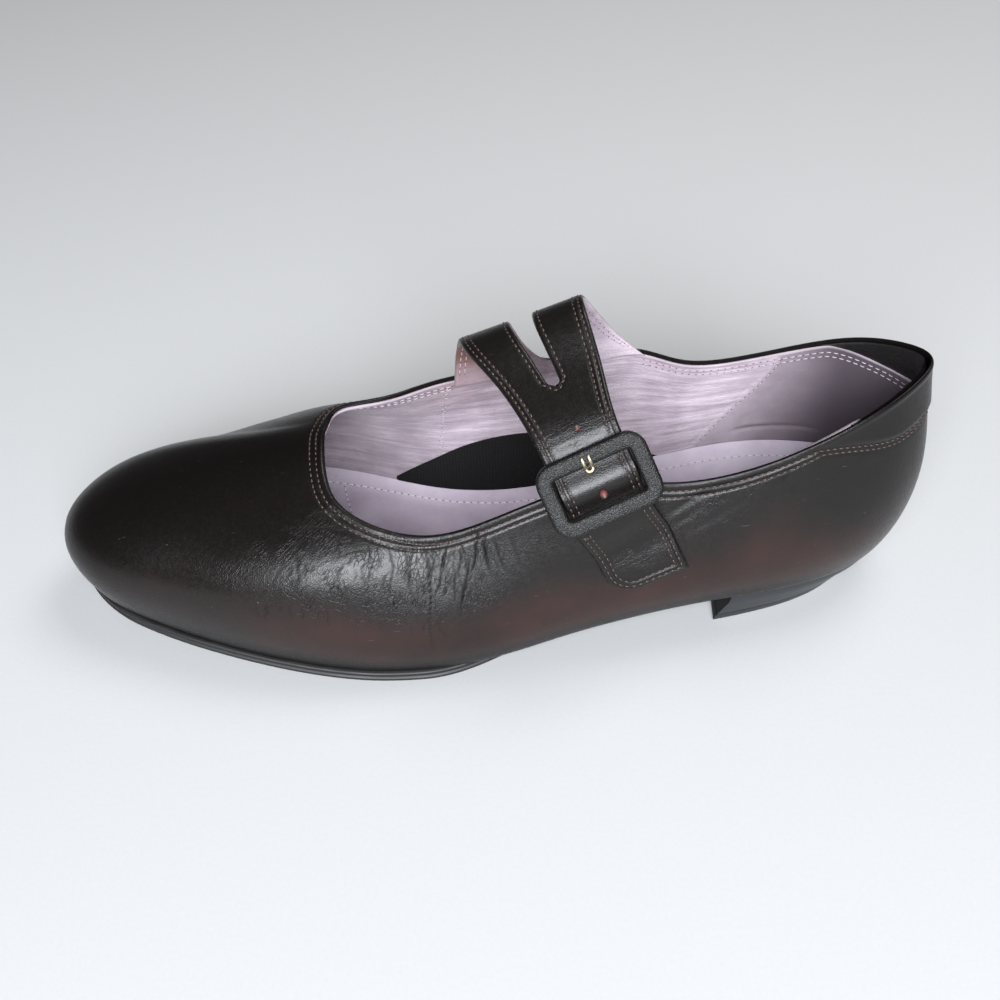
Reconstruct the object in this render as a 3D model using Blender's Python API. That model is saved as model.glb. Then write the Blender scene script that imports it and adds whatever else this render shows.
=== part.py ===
"""A left mary jane shoe: leather upper on a thin sole and a low covered heel, with an
instep strap cut in one with the inner quarter and buckled over the outer side.

The toe points to -X, the outer (lateral) side to -Y and the floor is z = 0.
Lengths are in metres. Tables hold shares of the named sizes above them.
"""

import math

import bmesh
import bpy
import numpy as np

# Sizes of the last
LAST_LENGTH = 0.2475        # feather line, toe to heel, in plan
BALL_WIDTH = 0.087          # feather line at the ball, outer to inner side
COLLAR_HEIGHT = 0.0745      # top line at the back of the heel, above the floor
INSTEP_HEIGHT = 0.0885      # crown of the strap's rear edge above the floor

# Sole and heel
SOLE_THICKNESS = 0.0035
TOE_SPRING = 0.0078
SEAT_HEIGHT = 0.0096        # underside of the sole at the heel seat
LIFT_THICKNESS = 0.0030
WELT_GROOVE = 0.0005        # depth of the line run round the sole's edge
SOLE_OVERHANG = 0.0016      # how far the forepart's edge stands out past the upper
WAIST_TUCK = 0.0026         # how far the sole's edge hides under the waist
SEAT_TUCK = 0.0004          # and at the heel seat
HEEL_BACK_TAPER = 0.0075    # how far the heel's back draws in, seat to floor
HEEL_SIDE_TAPER = 0.0018
HEEL_POINTING = 0.17        # share of the heel's width lost at its back, on the floor
HEEL_BREAST_LEAN = 0.003    # the breast's foot stands this far forward of its top
HEEL_LENGTH = 0.0525        # at the seat
HEEL_TUCK = 0.0006          # the heel's top edge lies this far inside the feather line
BREAST_HOLLOW = 0.0012

# Leather and fittings
LEATHER = 0.002             # upper with its lining
STRAP_THICKNESS = 0.002
STRAP_WIDTH = 0.0222
STRAP_TAIL = 0.0370         # buckle centre to the strap's tip
STRAP_SLANT = math.radians(22)   # lean of the tail towards the heel
BUCKLE_TILT = math.radians(31)   # the buckle faces this far above level
BUCKLE_RISE = 0.0037        # strap's middle layer over the top line, at the buckle
BUCKLE_SET_BACK = 0.0012    # its centre is this far up the strap from the top line
TIP_RADIUS = 0.008
SLIT_WIDTH = 0.0064
BAND_STEP = 0.0009          # the padded heel band stands this far proud
BAND_HEIGHT = 0.0145        # at the back, running out along both sides
BAND_EASE = 0.002           # the step's slope takes this much height
INSOLE_THICKNESS = 0.0024
GORE_THICKNESS = 0.0009
GORE_REACH = 0.008          # how far its front end runs past the inner quarter's station
GORE_FOOT = 0.08            # shares of the wall's height: where the panel starts,
GORE_TIP = 0.03             # how high its ends are
GORE_HEIGHT = 0.43          # and its middle
BUCKLE_BAR = 0.0038
BUCKLE_SIDE_GAP = 0.0006    # between the strap's edges and the frame's sides
BUCKLE_LENGTH = STRAP_WIDTH + 2 * (BUCKLE_BAR + BUCKLE_SIDE_GAP)
BUCKLE_HEIGHT = 0.0210      # along the strap
BUCKLE_DEPTH = 0.0036
CENTRE_BAR = 0.0016
STRAP_BULGE = 0.0019        # the strap's rise over the buckle's centre bar
PRONG_DIAMETER = 0.0016
PRONG_PLACE = -0.001        # across the strap, towards the toe
PRONG_HOLE = 0.45           # of the way from the window's middle to its upper bar
FRAME_CORNER = 0.0032       # along the middle of the frame's bar
FRAME_LIFT = 0.0005         # from the strap's face to the frame's flat underside
GAP = 0.0003                # between pieces that meet
ROOT_GAP = 0.0009           # between the strap's root and the inner top line

HALF_BALL = BALL_WIDTH / 2

# Mesh fineness
RING_COUNT = 84
WALL_ROWS = 13
ARCH_ROWS = 16
WINDOW_ROWS = 8
TAIL_ROWS = 7
STRAP_HALF_COLUMNS = 4
GORE_COLUMNS = 21
HEEL_COUNT = 25
BREAST_COUNT = 8
ROOT_HEM = 0.0012           # strap left whole below its slit

# One row for each station round the last, from the toe along the outer side to the
# heel and back along the inner side. foot_x, foot_y: feather line. top_x, top_y,
# top_z: throat and collar line. low_out, low_up: how the wall leaves the feather line.
# high_out, high_down: how it reaches the top line. All x are shares of LAST_LENGTH,
# all heights of COLLAR_HEIGHT and all other widths of HALF_BALL.
STATION_COLUMNS = ("foot_x", "foot_y", "top_x", "top_y", "top_z",
                   "low_out", "low_up", "high_out", "high_down")
STATIONS = {
    "toe":            (0.000, 0.000, 0.317, 0.074, 0.716, 0.38, 0.40, 1.15, 0.165),
    "outer toe":      (0.026, -0.30, 0.318, -0.06, 0.704, 0.33, 0.39, 1.10, 0.160),
    "outer box":      (0.090, -0.555, 0.322, -0.24, 0.676, 0.22, 0.37, 0.90, 0.130),
    "outer vamp":     (0.195, -0.79, 0.341, -0.46, 0.640, 0.15, 0.33, 0.55, 0.090),
    "outer ball":     (0.292, -0.94, 0.386, -0.62, 0.608, 0.14, 0.28, 0.33, 0.090),
    "outer throat":   (0.389, -1.01, 0.446, -0.69, 0.598, 0.14, 0.24, 0.16, 0.150),
    "outer waist":    (0.494, -0.96, 0.524, -0.68, 0.685, 0.15, 0.23, 0.10, 0.190),
    "outer buckle":   (0.598, -0.83, 0.620, -0.61, 0.770, 0.17, 0.23, 0.10, 0.200),
    "outer quarter":  (0.712, -0.75, 0.714, -0.57, 0.735, 0.17, 0.22, 0.10, 0.190),
    "outer seat":     (0.824, -0.67, 0.824, -0.54, 0.808, 0.14, 0.22, 0.09, 0.200),
    "outer counter":  (0.925, -0.50, 0.924, -0.39, 0.930, 0.22, 0.25, 0.07, 0.240),
    "outer back":     (0.982, -0.25, 0.978, -0.20, 0.985, 0.24, 0.28, 0.06, 0.270),
    "heel back":      (1.000, 0.000, 1.003, 0.000, 1.000, 0.26, 0.29, 0.07, 0.280),
    "inner back":     (0.982, 0.26, 0.981, 0.21, 0.980, 0.24, 0.28, 0.06, 0.270),
    "inner counter":  (0.925, 0.50, 0.928, 0.42, 0.920, 0.17, 0.25, 0.06, 0.240),
    "inner seat":     (0.824, 0.62, 0.832, 0.555, 0.812, 0.12, 0.22, 0.05, 0.200),
    "inner quarter":  (0.740, 0.56, 0.750, 0.605, 0.776, 0.08, 0.21, 0.05, 0.190),
    "strap rear":     (0.670, 0.49, 0.690, 0.625, 0.835, 0.10, 0.22, 0.05, 0.200),
    "inner arch":     (0.590, 0.48, 0.610, 0.610, 0.805, 0.12, 0.22, 0.05, 0.200),
    "strap front":    (0.478, 0.60, 0.471, 0.545, 0.777, 0.13, 0.22, 0.08, 0.200),
    "inner throat":   (0.385, 0.78, 0.395, 0.495, 0.720, 0.14, 0.24, 0.16, 0.150),
    "inner ball":     (0.290, 0.93, 0.343, 0.425, 0.712, 0.14, 0.28, 0.38, 0.130),
    "inner vamp":     (0.195, 0.88, 0.325, 0.330, 0.713, 0.15, 0.31, 0.68, 0.150),
    "inner box":      (0.090, 0.66, 0.321, 0.240, 0.716, 0.20, 0.355, 0.95, 0.170),
    "inner toe":      (0.026, 0.37, 0.318, 0.150, 0.717, 0.32, 0.38, 1.10, 0.160),
}

# The strap's path over the instep, front and rear edge of each rung: x in shares of
# LAST_LENGTH, y of HALF_BALL and z of INSTEP_HEIGHT.
STRAP_RUNGS = {
    "fillet": ((0.474, 0.535, 0.730), (0.664, 0.640, 0.775)),
    "rise":   ((0.478, 0.490, 0.800), (0.634, 0.575, 0.905)),
    "crown":  ((0.486, 0.215, 0.872), (0.622, 0.265, 1.000)),
    "fall":   ((0.520, -0.105, 0.845), (0.634, -0.060, 0.918)),
}


def periodic_spline(knots, total, rows):
    """The smooth closed curve through the rows, as a function of the run round it."""
    count = len(rows)
    spans = np.diff(np.append(knots, total))
    matrix = np.zeros((count, count))
    right = np.zeros_like(rows)
    for i in range(count):
        before, after = spans[i - 1], spans[i]
        ahead = (i + 1) % count
        matrix[i, i - 1] += before
        matrix[i, i] += 2 * (before + after)
        matrix[i, ahead] += after
        right[i] = 6 * ((rows[ahead] - rows[i]) / after - (rows[i] - rows[i - 1]) / before)
    bend = np.linalg.solve(matrix, right)

    def at(run):
        run = np.mod(run, total)
        i = np.searchsorted(knots, run, side="right") - 1
        ahead = (i + 1) % count
        span = spans[i][..., None]
        b = (run - knots[i])[..., None] / span
        a = 1 - b
        curve = a * rows[i] + b * rows[ahead]
        return curve + ((a**3 - a) * bend[i] + (b**3 - b) * bend[ahead]) * span**2 / 6

    return at


def open_spline_weights(knots, places):
    """How much each knot of a smooth open curve counts at each place along it."""
    count = len(knots)
    spans = np.diff(knots)
    matrix = np.eye(count)
    right = np.zeros((count, count))
    for i in range(1, count - 1):
        before, after = spans[i - 1], spans[i]
        matrix[i, i - 1:i + 2] = before, 2 * (before + after), after
        right[i, i - 1:i + 2] = 6 / before, -6 / before - 6 / after, 6 / after
    bend = np.linalg.solve(matrix, right)
    i = np.clip(np.searchsorted(knots, places, side="right") - 1, 0, count - 2)
    span = spans[i][:, None]
    b = (places - knots[i])[:, None] / span
    a = 1 - b
    rows = np.eye(count)
    flat = a * rows[i] + b * rows[i + 1]
    return flat + ((a**3 - a) * bend[i] + (b**3 - b) * bend[i + 1]) * span**2 / 6


def station_table():
    """The station table in metres, with its column numbers by name."""
    length, wide, high = LAST_LENGTH, HALF_BALL, COLLAR_HEIGHT
    units = np.array([length, wide, length, wide, high, wide, high, wide, high])
    table = np.array(list(STATIONS.values())) * units
    return table, {name: i for i, name in enumerate(STATION_COLUMNS)}


TABLE, COLUMN = station_table()
FOOT_PLAN = TABLE[:, :2]
STEPS = np.linalg.norm(np.roll(FOOT_PLAN, -1, axis=0) - FOOT_PLAN, axis=1)
RUNS = np.concatenate([[0], np.cumsum(STEPS)[:-1]])
GIRTH = STEPS.sum()
STATION_AT = periodic_spline(RUNS, GIRTH, TABLE)
STATION_RUN = dict(zip(STATIONS, RUNS))


def smooth(x):
    """A soft step from 0 to 1."""
    x = np.clip(x, 0, 1)
    return x * x * (3 - 2 * x)


# The underside of the sole: flat under the ball, up to the toe and up to the seat
TOE_BREAK = 0.365 * LAST_LENGTH
BALL_BREAK = 0.420 * LAST_LENGTH
SEAT_BREAK = LAST_LENGTH - HEEL_LENGTH


def underside(x):
    """Height of the sole's underside at x behind the toe."""
    toe = TOE_SPRING * np.clip((TOE_BREAK - x) / TOE_BREAK, 0, None) ** 1.45
    waist = SEAT_HEIGHT * smooth((x - BALL_BREAK) / (SEAT_BREAK - BALL_BREAK)) ** 1.3
    return toe + waist


def plan_outward(at, run, first):
    """Unit vector in plan, square to a ring and pointing out of it."""
    step = GIRTH * 1e-4
    ahead = at(run + step)[..., first:first + 2] - at(run - step)[..., first:first + 2]
    out = np.stack([ahead[..., 1], -ahead[..., 0]], axis=-1)
    return out / np.linalg.norm(out, axis=-1, keepdims=True)


def rings(run):
    """The four guide rings of the upper's outside, feather line first."""
    row = STATION_AT(run)
    col = {name: row[..., i:i + 1] for name, i in COLUMN.items()}
    out_low = plan_outward(STATION_AT, run, COLUMN["foot_x"])
    out_high = plan_outward(STATION_AT, run, COLUMN["top_x"])
    foot_z = underside(col["foot_x"]) + SOLE_THICKNESS + GAP
    foot = np.concatenate([col["foot_x"], col["foot_y"], foot_z], axis=-1)
    top = np.concatenate([col["top_x"], col["top_y"], col["top_z"]], axis=-1)
    low = foot + np.concatenate([out_low * col["low_out"], col["low_up"]], axis=-1)
    high = top + np.concatenate([out_high * col["high_out"], -col["high_down"]], axis=-1)
    return foot, low, high, top


def plain_wall(run, rise):
    """The outside of the upper without its heel band; rise is 0 below and 1 on top."""
    foot, low, high, top = rings(run)
    v = rise[..., None]
    w = 1 - v
    return w**3 * foot + 3 * w * w * v * low + 3 * w * v * v * high + v**3 * top


def wall_normal(run, rise):
    """Outward unit normal of the upper's plain outside."""
    along = plain_wall(run + GIRTH * 1e-4, rise) - plain_wall(run - GIRTH * 1e-4, rise)
    inside = np.clip(rise, 1e-3, 1 - 1e-3)
    up = plain_wall(run, inside + 1e-3) - plain_wall(run, inside - 1e-3)
    normal = np.cross(along, up)
    return normal / np.linalg.norm(normal, axis=-1, keepdims=True)


def wall(run, rise, offset=0.0):
    """The upper's outside with its heel band, moved out by offset."""
    plain = plain_wall(run, rise)
    heel = STATION_RUN["heel back"]
    reach = heel - STATION_RUN["outer seat"]
    share = smooth(1.25 * (1 - np.abs(run - heel) / reach))
    fall = rings(run)[3][..., 2] - plain[..., 2]
    band = BAND_STEP * share * smooth((BAND_HEIGHT * share - fall) / BAND_EASE)
    return plain + wall_normal(run, rise) * (band[..., None] + offset)


def on_outer_quarter(x, z):
    """Run and rise of the outside's point at x and z on the outer quarter."""
    run = np.full(np.shape(x), STATION_RUN["outer buckle"])
    rise = np.full(np.shape(x), 0.6)
    for _ in range(40):
        point = plain_wall(run, rise)
        run = run + 0.7 * (x - point[..., 0])
        rise = np.clip(rise + 0.7 * (z - point[..., 2]) / COLLAR_HEIGHT, 0.02, 1.0)
    return run, rise


def buckle_frame_axes():
    """Centre of the strap under the buckle, and its across, along and outward axes."""
    out = np.array([0, -math.cos(BUCKLE_TILT), math.sin(BUCKLE_TILT)])
    down = np.array([0, -math.sin(BUCKLE_TILT), -math.cos(BUCKLE_TILT)])
    level = np.array([1.0, 0, 0])
    along = down * math.cos(STRAP_SLANT) + level * math.sin(STRAP_SLANT)
    across = level * math.cos(STRAP_SLANT) - down * math.sin(STRAP_SLANT)
    run = np.array(STATION_RUN["outer buckle"] + 0.0015)
    centre = plain_wall(run, np.array(1.0)) + out * BUCKLE_RISE - along * BUCKLE_SET_BACK
    return centre, across, along, out


BUCKLE_CENTRE, ACROSS, ALONG, OUTWARD = buckle_frame_axes()


def strap_knots(side):
    """The strap's guide points for places across it, 0 at the front edge, 1 behind."""
    share = side[..., None]
    root_run = STATION_RUN["strap front"] * (1 - side) + STATION_RUN["strap rear"] * side
    root_rise = np.ones_like(side)
    root = plain_wall(root_run, root_rise)
    up = root - plain_wall(root_run, root_rise - 0.02)
    up = up / np.linalg.norm(up, axis=-1, keepdims=True)
    root = root - wall_normal(root_run, root_rise) * LEATHER / 2 + up * ROOT_GAP
    units = np.array([LAST_LENGTH, HALF_BALL, INSTEP_HEIGHT])
    knots = [root]
    for front, rear in STRAP_RUNGS.values():
        knots.append((np.array(front) * (1 - share) + np.array(rear) * share) * units)
    spread = ACROSS * (share - 0.5) * STRAP_WIDTH
    for share_along in (-0.50, -0.25, 0, 0.25, 0.50):
        place = share_along * BUCKLE_HEIGHT
        knots.append(BUCKLE_CENTRE + spread + ALONG * place)
    for share_along in (0.68, 0.85, 1.0, 1.15):
        target = BUCKLE_CENTRE + spread + ALONG * share_along * STRAP_TAIL
        run, rise = on_outer_quarter(target[..., 0], target[..., 2])
        clear = GAP + STRAP_THICKNESS / 2
        knots.append(plain_wall(run, rise) + wall_normal(run, rise) * clear)
    return np.stack(knots, axis=-2)


STRAP_MIDDLE = strap_knots(np.array(0.5))
STRAP_STEPS = np.linalg.norm(np.diff(STRAP_MIDDLE, axis=0), axis=1)
STRAP_PLACES = np.concatenate([[0], np.cumsum(STRAP_STEPS)])
BUCKLE_PLACE = STRAP_PLACES[7]
TIP_PLACE = BUCKLE_PLACE + STRAP_TAIL
WINDOW_HALF = BUCKLE_HEIGHT / 2 - BUCKLE_BAR
SLIT_FROM = 1.5 * ROOT_HEM
SLIT_TO = STRAP_PLACES[4]


def strap_point(place, side):
    """Middle layer of the strap at a distance from its root and a place across."""
    weights = open_spline_weights(STRAP_PLACES, np.ravel(place))
    knots = strap_knots(np.ravel(side))
    points = np.einsum("nk,nkd->nd", weights, knots).reshape(*np.shape(place), 3)
    bulge = STRAP_BULGE * smooth(1 - np.abs(place - BUCKLE_PLACE) / WINDOW_HALF)
    return points + OUTWARD * bulge[..., None]


def tip_end(side):
    """Where the strap ends: square behind, with a round corner in front."""
    inset = np.clip(TIP_RADIUS - side * STRAP_WIDTH, 0, TIP_RADIUS)
    return TIP_PLACE - TIP_RADIUS + np.sqrt(TIP_RADIUS**2 - inset**2)


def slit_half(place):
    """Half the slit's opening, as a share of the strap's width there."""
    share = np.clip((place - SLIT_FROM) / (SLIT_TO - SLIT_FROM), 0, 1)
    edges = strap_point(place, np.zeros_like(place)), strap_point(place, np.ones_like(place))
    width = np.linalg.norm(edges[1] - edges[0], axis=-1)
    return SLIT_WIDTH / 2 * np.sin(math.pi * share) ** 0.8 / width


def material(name, hex_colour, roughness, metallic=0.0):
    """A plain finish of one colour."""
    made = bpy.data.materials.new(name)
    made.use_nodes = True
    shader = made.node_tree.nodes["Principled BSDF"]
    parts = [int(hex_colour[i:i + 2], 16) / 255 for i in (0, 2, 4)]
    linear = [c / 12.92 if c <= 0.04045 else ((c + 0.055) / 1.055) ** 2.4 for c in parts]
    shader.inputs["Base Color"].default_value = (*linear, 1)
    shader.inputs["Roughness"].default_value = roughness
    shader.inputs["Metallic"].default_value = metallic
    return made


def add_object(name, bm, finish):
    """One named object from a bmesh, shaded smooth across its soft edges."""
    mesh = bpy.data.meshes.new(name)
    bmesh.ops.remove_doubles(bm, verts=bm.verts, dist=1e-6)
    bmesh.ops.recalc_face_normals(bm, faces=bm.faces)
    closed = all(len(edge.link_faces) == 2 for edge in bm.edges)
    if closed and bm.calc_volume(signed=True) < 0:
        bmesh.ops.reverse_faces(bm, faces=bm.faces)
    bm.to_mesh(mesh)
    bm.free()
    mesh.shade_smooth()
    mesh.set_sharp_from_angle(angle=math.radians(40))
    mesh.materials.append(finish)
    made = bpy.data.objects.new(name, mesh)
    bpy.context.collection.objects.link(made)
    return made


def grid_faces(bm, points, closed=False):
    """Four-sided faces over rows of points; closed joins each row's ends."""
    rows = [[bm.verts.new(p) for p in row] for row in points]
    width = len(rows[0])
    for low, high in zip(rows, rows[1:]):
        for j in range(width if closed else width - 1):
            k = (j + 1) % width
            bm.faces.new((low[j], low[k], high[k], high[j]))
    return rows


def ladder_cap(bm, ring):
    """Closes a ring of an even count by rungs between its two sides."""
    half = len(ring) // 2
    bm.faces.new((ring[0], ring[1], ring[-1]))
    for i in range(1, half - 1):
        bm.faces.new((ring[i], ring[i + 1], ring[-i - 1], ring[-i]))
    bm.faces.new((ring[half - 1], ring[half], ring[half + 1]))


def thicken(made, thickness, side):
    """Gives a sheet its thickness: side -1 inwards, 0 to both sides, 1 outwards."""
    modifier = made.modifiers.new("thickness", "SOLIDIFY")
    modifier.thickness = thickness
    modifier.offset = side
    modifier.use_even_offset = True
    modifier.use_quality_normals = True


def stack(name, levels, finish):
    """A solid from closed rings laid one over another, with laddered ends."""
    bm = bmesh.new()
    rows = grid_faces(bm, levels, closed=True)
    ladder_cap(bm, rows[0])
    ladder_cap(bm, rows[-1])
    return add_object(name, bm, finish)


def upper(finish):
    """The hollow shaped upper, open at the throat, the collar and underneath."""
    run = np.arange(RING_COUNT) / RING_COUNT * GIRTH
    rows = [wall(run, np.full(RING_COUNT, i / WALL_ROWS)) for i in range(WALL_ROWS + 1)]
    bm = bmesh.new()
    grid_faces(bm, rows, closed=True)
    made = add_object("upper", bm, finish)
    thicken(made, LEATHER, -1)
    return made


def strap(finish):
    """The instep strap with its slit, from the inner collar to the tip."""
    before, after = BUCKLE_PLACE - WINDOW_HALF, BUCKLE_PLACE + WINDOW_HALF
    arch = np.linspace(ROOT_HEM, before, ARCH_ROWS)
    window = np.linspace(before, after, WINDOW_ROWS + 1)[1:]
    tail = np.linspace(0, 1, TAIL_ROWS + 1)[1:, None]
    across = np.linspace(0, 0.5, STRAP_HALF_COLUMNS + 1)
    ends = tip_end(np.concatenate([across, 0.5 + across]))
    bm = bmesh.new()
    for front in (True, False):
        side = across if front else 0.5 + across
        end = ends[:len(across)] if front else ends[len(across):]
        level = np.concatenate([[0], arch, window])[:, None] * np.ones(len(end))
        place = np.vstack([level, after + tail * (end - after)])
        cut = slit_half(place)
        wide = np.broadcast_to(side, place.shape)
        wide = wide * (1 - 2 * cut) if front else 1 - (1 - wide) * (1 - 2 * cut)
        grid_faces(bm, strap_point(place, wide))
    made = add_object("strap", bm, finish)
    thicken(made, STRAP_THICKNESS, 0)
    return made


def foot_ring(run, out):
    """The feather line in plan, moved outwards, as x and y."""
    plan = STATION_AT(run)[..., :2]
    return plan + plan_outward(STATION_AT, run, 0) * np.asarray(out)[..., None]


def at_height(plan, height):
    """Puts plan points at a height, one number or one for each point."""
    return np.column_stack([plan, np.broadcast_to(height, len(plan))])


def sole_overhang(run):
    """The sole's edge: proud round the forepart, tucked under at the waist."""
    x = STATION_AT(run)[..., 0] / LAST_LENGTH
    waist = smooth((x - 0.42) / 0.16) * (1 - smooth((x - 0.70) / 0.12))
    heel = smooth((x - 0.70) / 0.12)
    forepart = 1 - smooth((x - 0.42) / 0.16)
    return SOLE_OVERHANG * forepart - WAIST_TUCK * waist - SEAT_TUCK * heel


def outsole(finish):
    """The thin sole: a bevelled edge with one groove run round it."""
    run = np.arange(RING_COUNT) / RING_COUNT * GIRTH
    overhang = sole_overhang(run)
    levels = []
    for depth, inset in ((0, 0.0005), (0.15, 0), (0.42, 0), (0.5, WELT_GROOVE),
                         (0.58, 0), (0.82, 0.0001), (1.0, 0.0012)):
        plan = foot_ring(run, overhang - inset)
        top = underside(plan[:, 0]) + SOLE_THICKNESS
        levels.append(at_height(plan, top - depth * SOLE_THICKNESS))
    return stack("outsole", levels[::-1], finish)


def insole(finish):
    """The padded footbed inside the upper."""
    run = np.arange(RING_COUNT) / RING_COUNT * GIRTH
    levels = []
    for height, inset in ((0, 0.0004), (0.6, 0), (1.0, 0.0008)):
        plan = foot_ring(run, -np.full(RING_COUNT, LEATHER + 0.0006 + inset))
        floor = underside(plan[:, 0]) + SOLE_THICKNESS + GAP
        levels.append(at_height(plan, floor + height * INSOLE_THICKNESS))
    return stack("insole", levels, finish)


def heel_outline(drop):
    """Plan of the heel: round the back, closed by its breast; drop 0 seat, 1 floor."""
    breast = LAST_LENGTH - HEEL_LENGTH - HEEL_BREAST_LEAN * drop
    run = np.linspace(0, GIRTH, 1201)
    behind = run[STATION_AT(run)[:, 0] > breast + HEEL_TUCK]
    run = np.linspace(behind[0], behind[-1], HEEL_COUNT)
    plan = foot_ring(run, np.full(HEEL_COUNT, -HEEL_TUCK))
    back = (plan[:, 0] - breast) / (plan[:, 0].max() - breast)
    plan[:, 0] -= back**2 * HEEL_BACK_TAPER * drop
    plan[:, 1] -= np.sign(plan[:, 1]) * HEEL_SIDE_TAPER * drop * (1 - back)
    plan[:, 1] *= 1 - HEEL_POINTING * drop * back
    hollow = np.linspace(plan[-1], plan[0], BREAST_COUNT)
    hollow[:, 0] += BREAST_HOLLOW * np.sin(np.linspace(0, math.pi, BREAST_COUNT))
    return np.vstack([plan, hollow[1:-1]])


def plan_solid(name, levels, finish):
    """A solid between closed outlines whose two ends are filled flat."""
    bm = bmesh.new()
    rows = grid_faces(bm, levels, closed=True)
    for ring in (rows[0], rows[-1]):
        face = bm.faces.new(ring)
        bmesh.ops.triangulate(bm, faces=[face])
    return add_object(name, bm, finish)


def heel_drop(height):
    """How far the heel has drawn in at a height: 0 at the seat, 1 on the floor."""
    return (1 - height / SEAT_HEIGHT) ** 0.8


def heel_block(finish):
    """The covered heel between the sole's seat and the lift."""
    seat, foot = SEAT_HEIGHT - GAP, LIFT_THICKNESS + GAP
    levels = []
    for share in (0, 0.35, 0.7, 1.0):
        height = seat - share * (seat - foot)
        plan = heel_outline(heel_drop(height))
        level = underside(plan[:, 0]) - GAP if share == 0 else height
        levels.append(at_height(plan, level))
    return plan_solid("heel_block", levels[::-1], finish)


def heel_lift(finish):
    """The hard-wearing top piece that stands on the floor."""
    levels = []
    for share, inset in ((0, 0.0004), (0.15, 0), (1.0, 0)):
        plan = heel_outline(heel_drop(share * LIFT_THICKNESS))
        middle = plan.mean(axis=0)
        plan = plan + (middle - plan) * inset / HALF_BALL
        levels.append(at_height(plan, share * LIFT_THICKNESS))
    return plan_solid("heel_lift", levels, finish)


def arch_gore(finish):
    """The dark textile panel let into the lining along the inner side of the arch."""
    first = STATION_RUN["inner quarter"] - GORE_REACH
    last = STATION_RUN["inner throat"]
    share = np.linspace(0, 1, GORE_COLUMNS)
    run = first + (last - first) * share
    height = GORE_TIP + (GORE_HEIGHT - GORE_TIP) * np.sin(math.pi * share**1.25)
    depth = LEATHER + GAP + GORE_THICKNESS / 2
    rows = []
    for v in np.linspace(0, 1, 5):
        rise = GORE_FOOT + height * v
        rows.append(plain_wall(run, rise) - wall_normal(run, rise) * depth)
    bm = bmesh.new()
    grid_faces(bm, rows)
    made = add_object("arch_gore", bm, finish)
    thicken(made, GORE_THICKNESS, 0)
    return made


def buckle_place(across, along, out):
    """A point in the buckle's own axes, out measured from the strap's upper face."""
    base = BUCKLE_CENTRE + OUTWARD * (STRAP_THICKNESS / 2)
    return base + ACROSS * across + ALONG * along + OUTWARD * out


def frame_path(count):
    """Centre line of the buckle's frame: a rectangle with round corners."""
    half_x = (BUCKLE_LENGTH - BUCKLE_BAR) / 2
    half_y = (BUCKLE_HEIGHT - BUCKLE_BAR) / 2
    corner = FRAME_CORNER
    places = []
    for turn, (sx, sy) in enumerate(((1, 1), (-1, 1), (-1, -1), (1, -1))):
        for step in range(count):
            angle = math.pi / 2 * (turn + step / (count - 1))
            places.append((sx * (half_x - corner) + corner * math.cos(angle),
                           sy * (half_y - corner) + corner * math.sin(angle),
                           math.cos(angle), math.sin(angle)))
    return places


def bar_section():
    """Section of the frame's bar: flat below, softly rounded on top."""
    w, h = BUCKLE_BAR / 2, BUCKLE_DEPTH
    return ((-0.85 * w, 0), (0.85 * w, 0), (w, 0.12 * h), (w, 0.62 * h), (0.72 * w, 0.92 * h),
            (0.3 * w, h), (-0.3 * w, h), (-0.72 * w, 0.92 * h), (-w, 0.62 * h), (-w, 0.12 * h))


def buckle_frame(finish):
    """Leather-covered frame with the bar that runs under the strap."""
    bm = bmesh.new()
    rows = []
    for x, y, cos_a, sin_a in frame_path(5):
        rows.append([bm.verts.new(buckle_place(x + w * cos_a, y + w * sin_a, FRAME_LIFT + h))
                     for w, h in bar_section()])
    count = len(rows)
    for i in range(count):
        low, high = rows[i], rows[(i + 1) % count]
        for j in range(len(low)):
            k = (j + 1) % len(low)
            bm.faces.new((low[j], low[k], high[k], high[j]))
    return add_object("buckle_frame", bm, finish)


def centre_bar(finish):
    """The round bar under the strap's bulge, let down from the frame's sides."""
    radius = CENTRE_BAR / 2
    under = STRAP_BULGE - STRAP_THICKNESS - GAP - radius
    seat = FRAME_LIFT - GAP - radius
    reach = (BUCKLE_LENGTH - BUCKLE_BAR) / 2
    clear = STRAP_WIDTH / 2 + radius + GAP
    stops = ((-reach, seat), (-clear, under), (0, under), (clear, under), (reach, seat))
    bm = bmesh.new()
    rows = []
    for x, out in stops:
        ring = []
        for step in range(8):
            angle = math.tau * (step + 0.5) / 8
            ring.append(buckle_place(x, radius * math.cos(angle),
                                     out + radius * math.sin(angle)))
        rows.append(ring)
    rows = grid_faces(bm, rows, closed=True)
    bm.faces.new(rows[0][::-1])
    bm.faces.new(rows[-1])
    return add_object("centre_bar", bm, finish)


def buckle_prong(finish):
    """The pin's tip, up out of the strap's hole and over on to the upper bar."""
    radius = PRONG_DIAMETER / 2
    hole = -WINDOW_HALF * PRONG_HOLE
    inner, outer = -WINDOW_HALF, -WINDOW_HALF - BUCKLE_BAR
    bar_top = FRAME_LIFT + BUCKLE_DEPTH + GAP + radius
    strap_top = STRAP_BULGE + GAP + radius
    stops = ((hole, strap_top, 0.75), (hole * 0.4 + inner * 0.6, bar_top - radius, 1),
             (inner, bar_top, 1), (inner * 0.25 + outer * 0.75, bar_top, 0.75))
    bm = bmesh.new()
    rows = []
    for along, out, size in stops:
        ring = []
        for step in range(8):
            angle = math.tau * step / 8
            ring.append(buckle_place(PRONG_PLACE + radius * size * math.cos(angle), along,
                                     out + radius * size * math.sin(angle)))
        rows.append(ring)
    rows = grid_faces(bm, rows, closed=True)
    bm.faces.new(rows[0][::-1])
    bm.faces.new(rows[-1])
    return add_object("buckle_prong", bm, finish)


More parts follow.
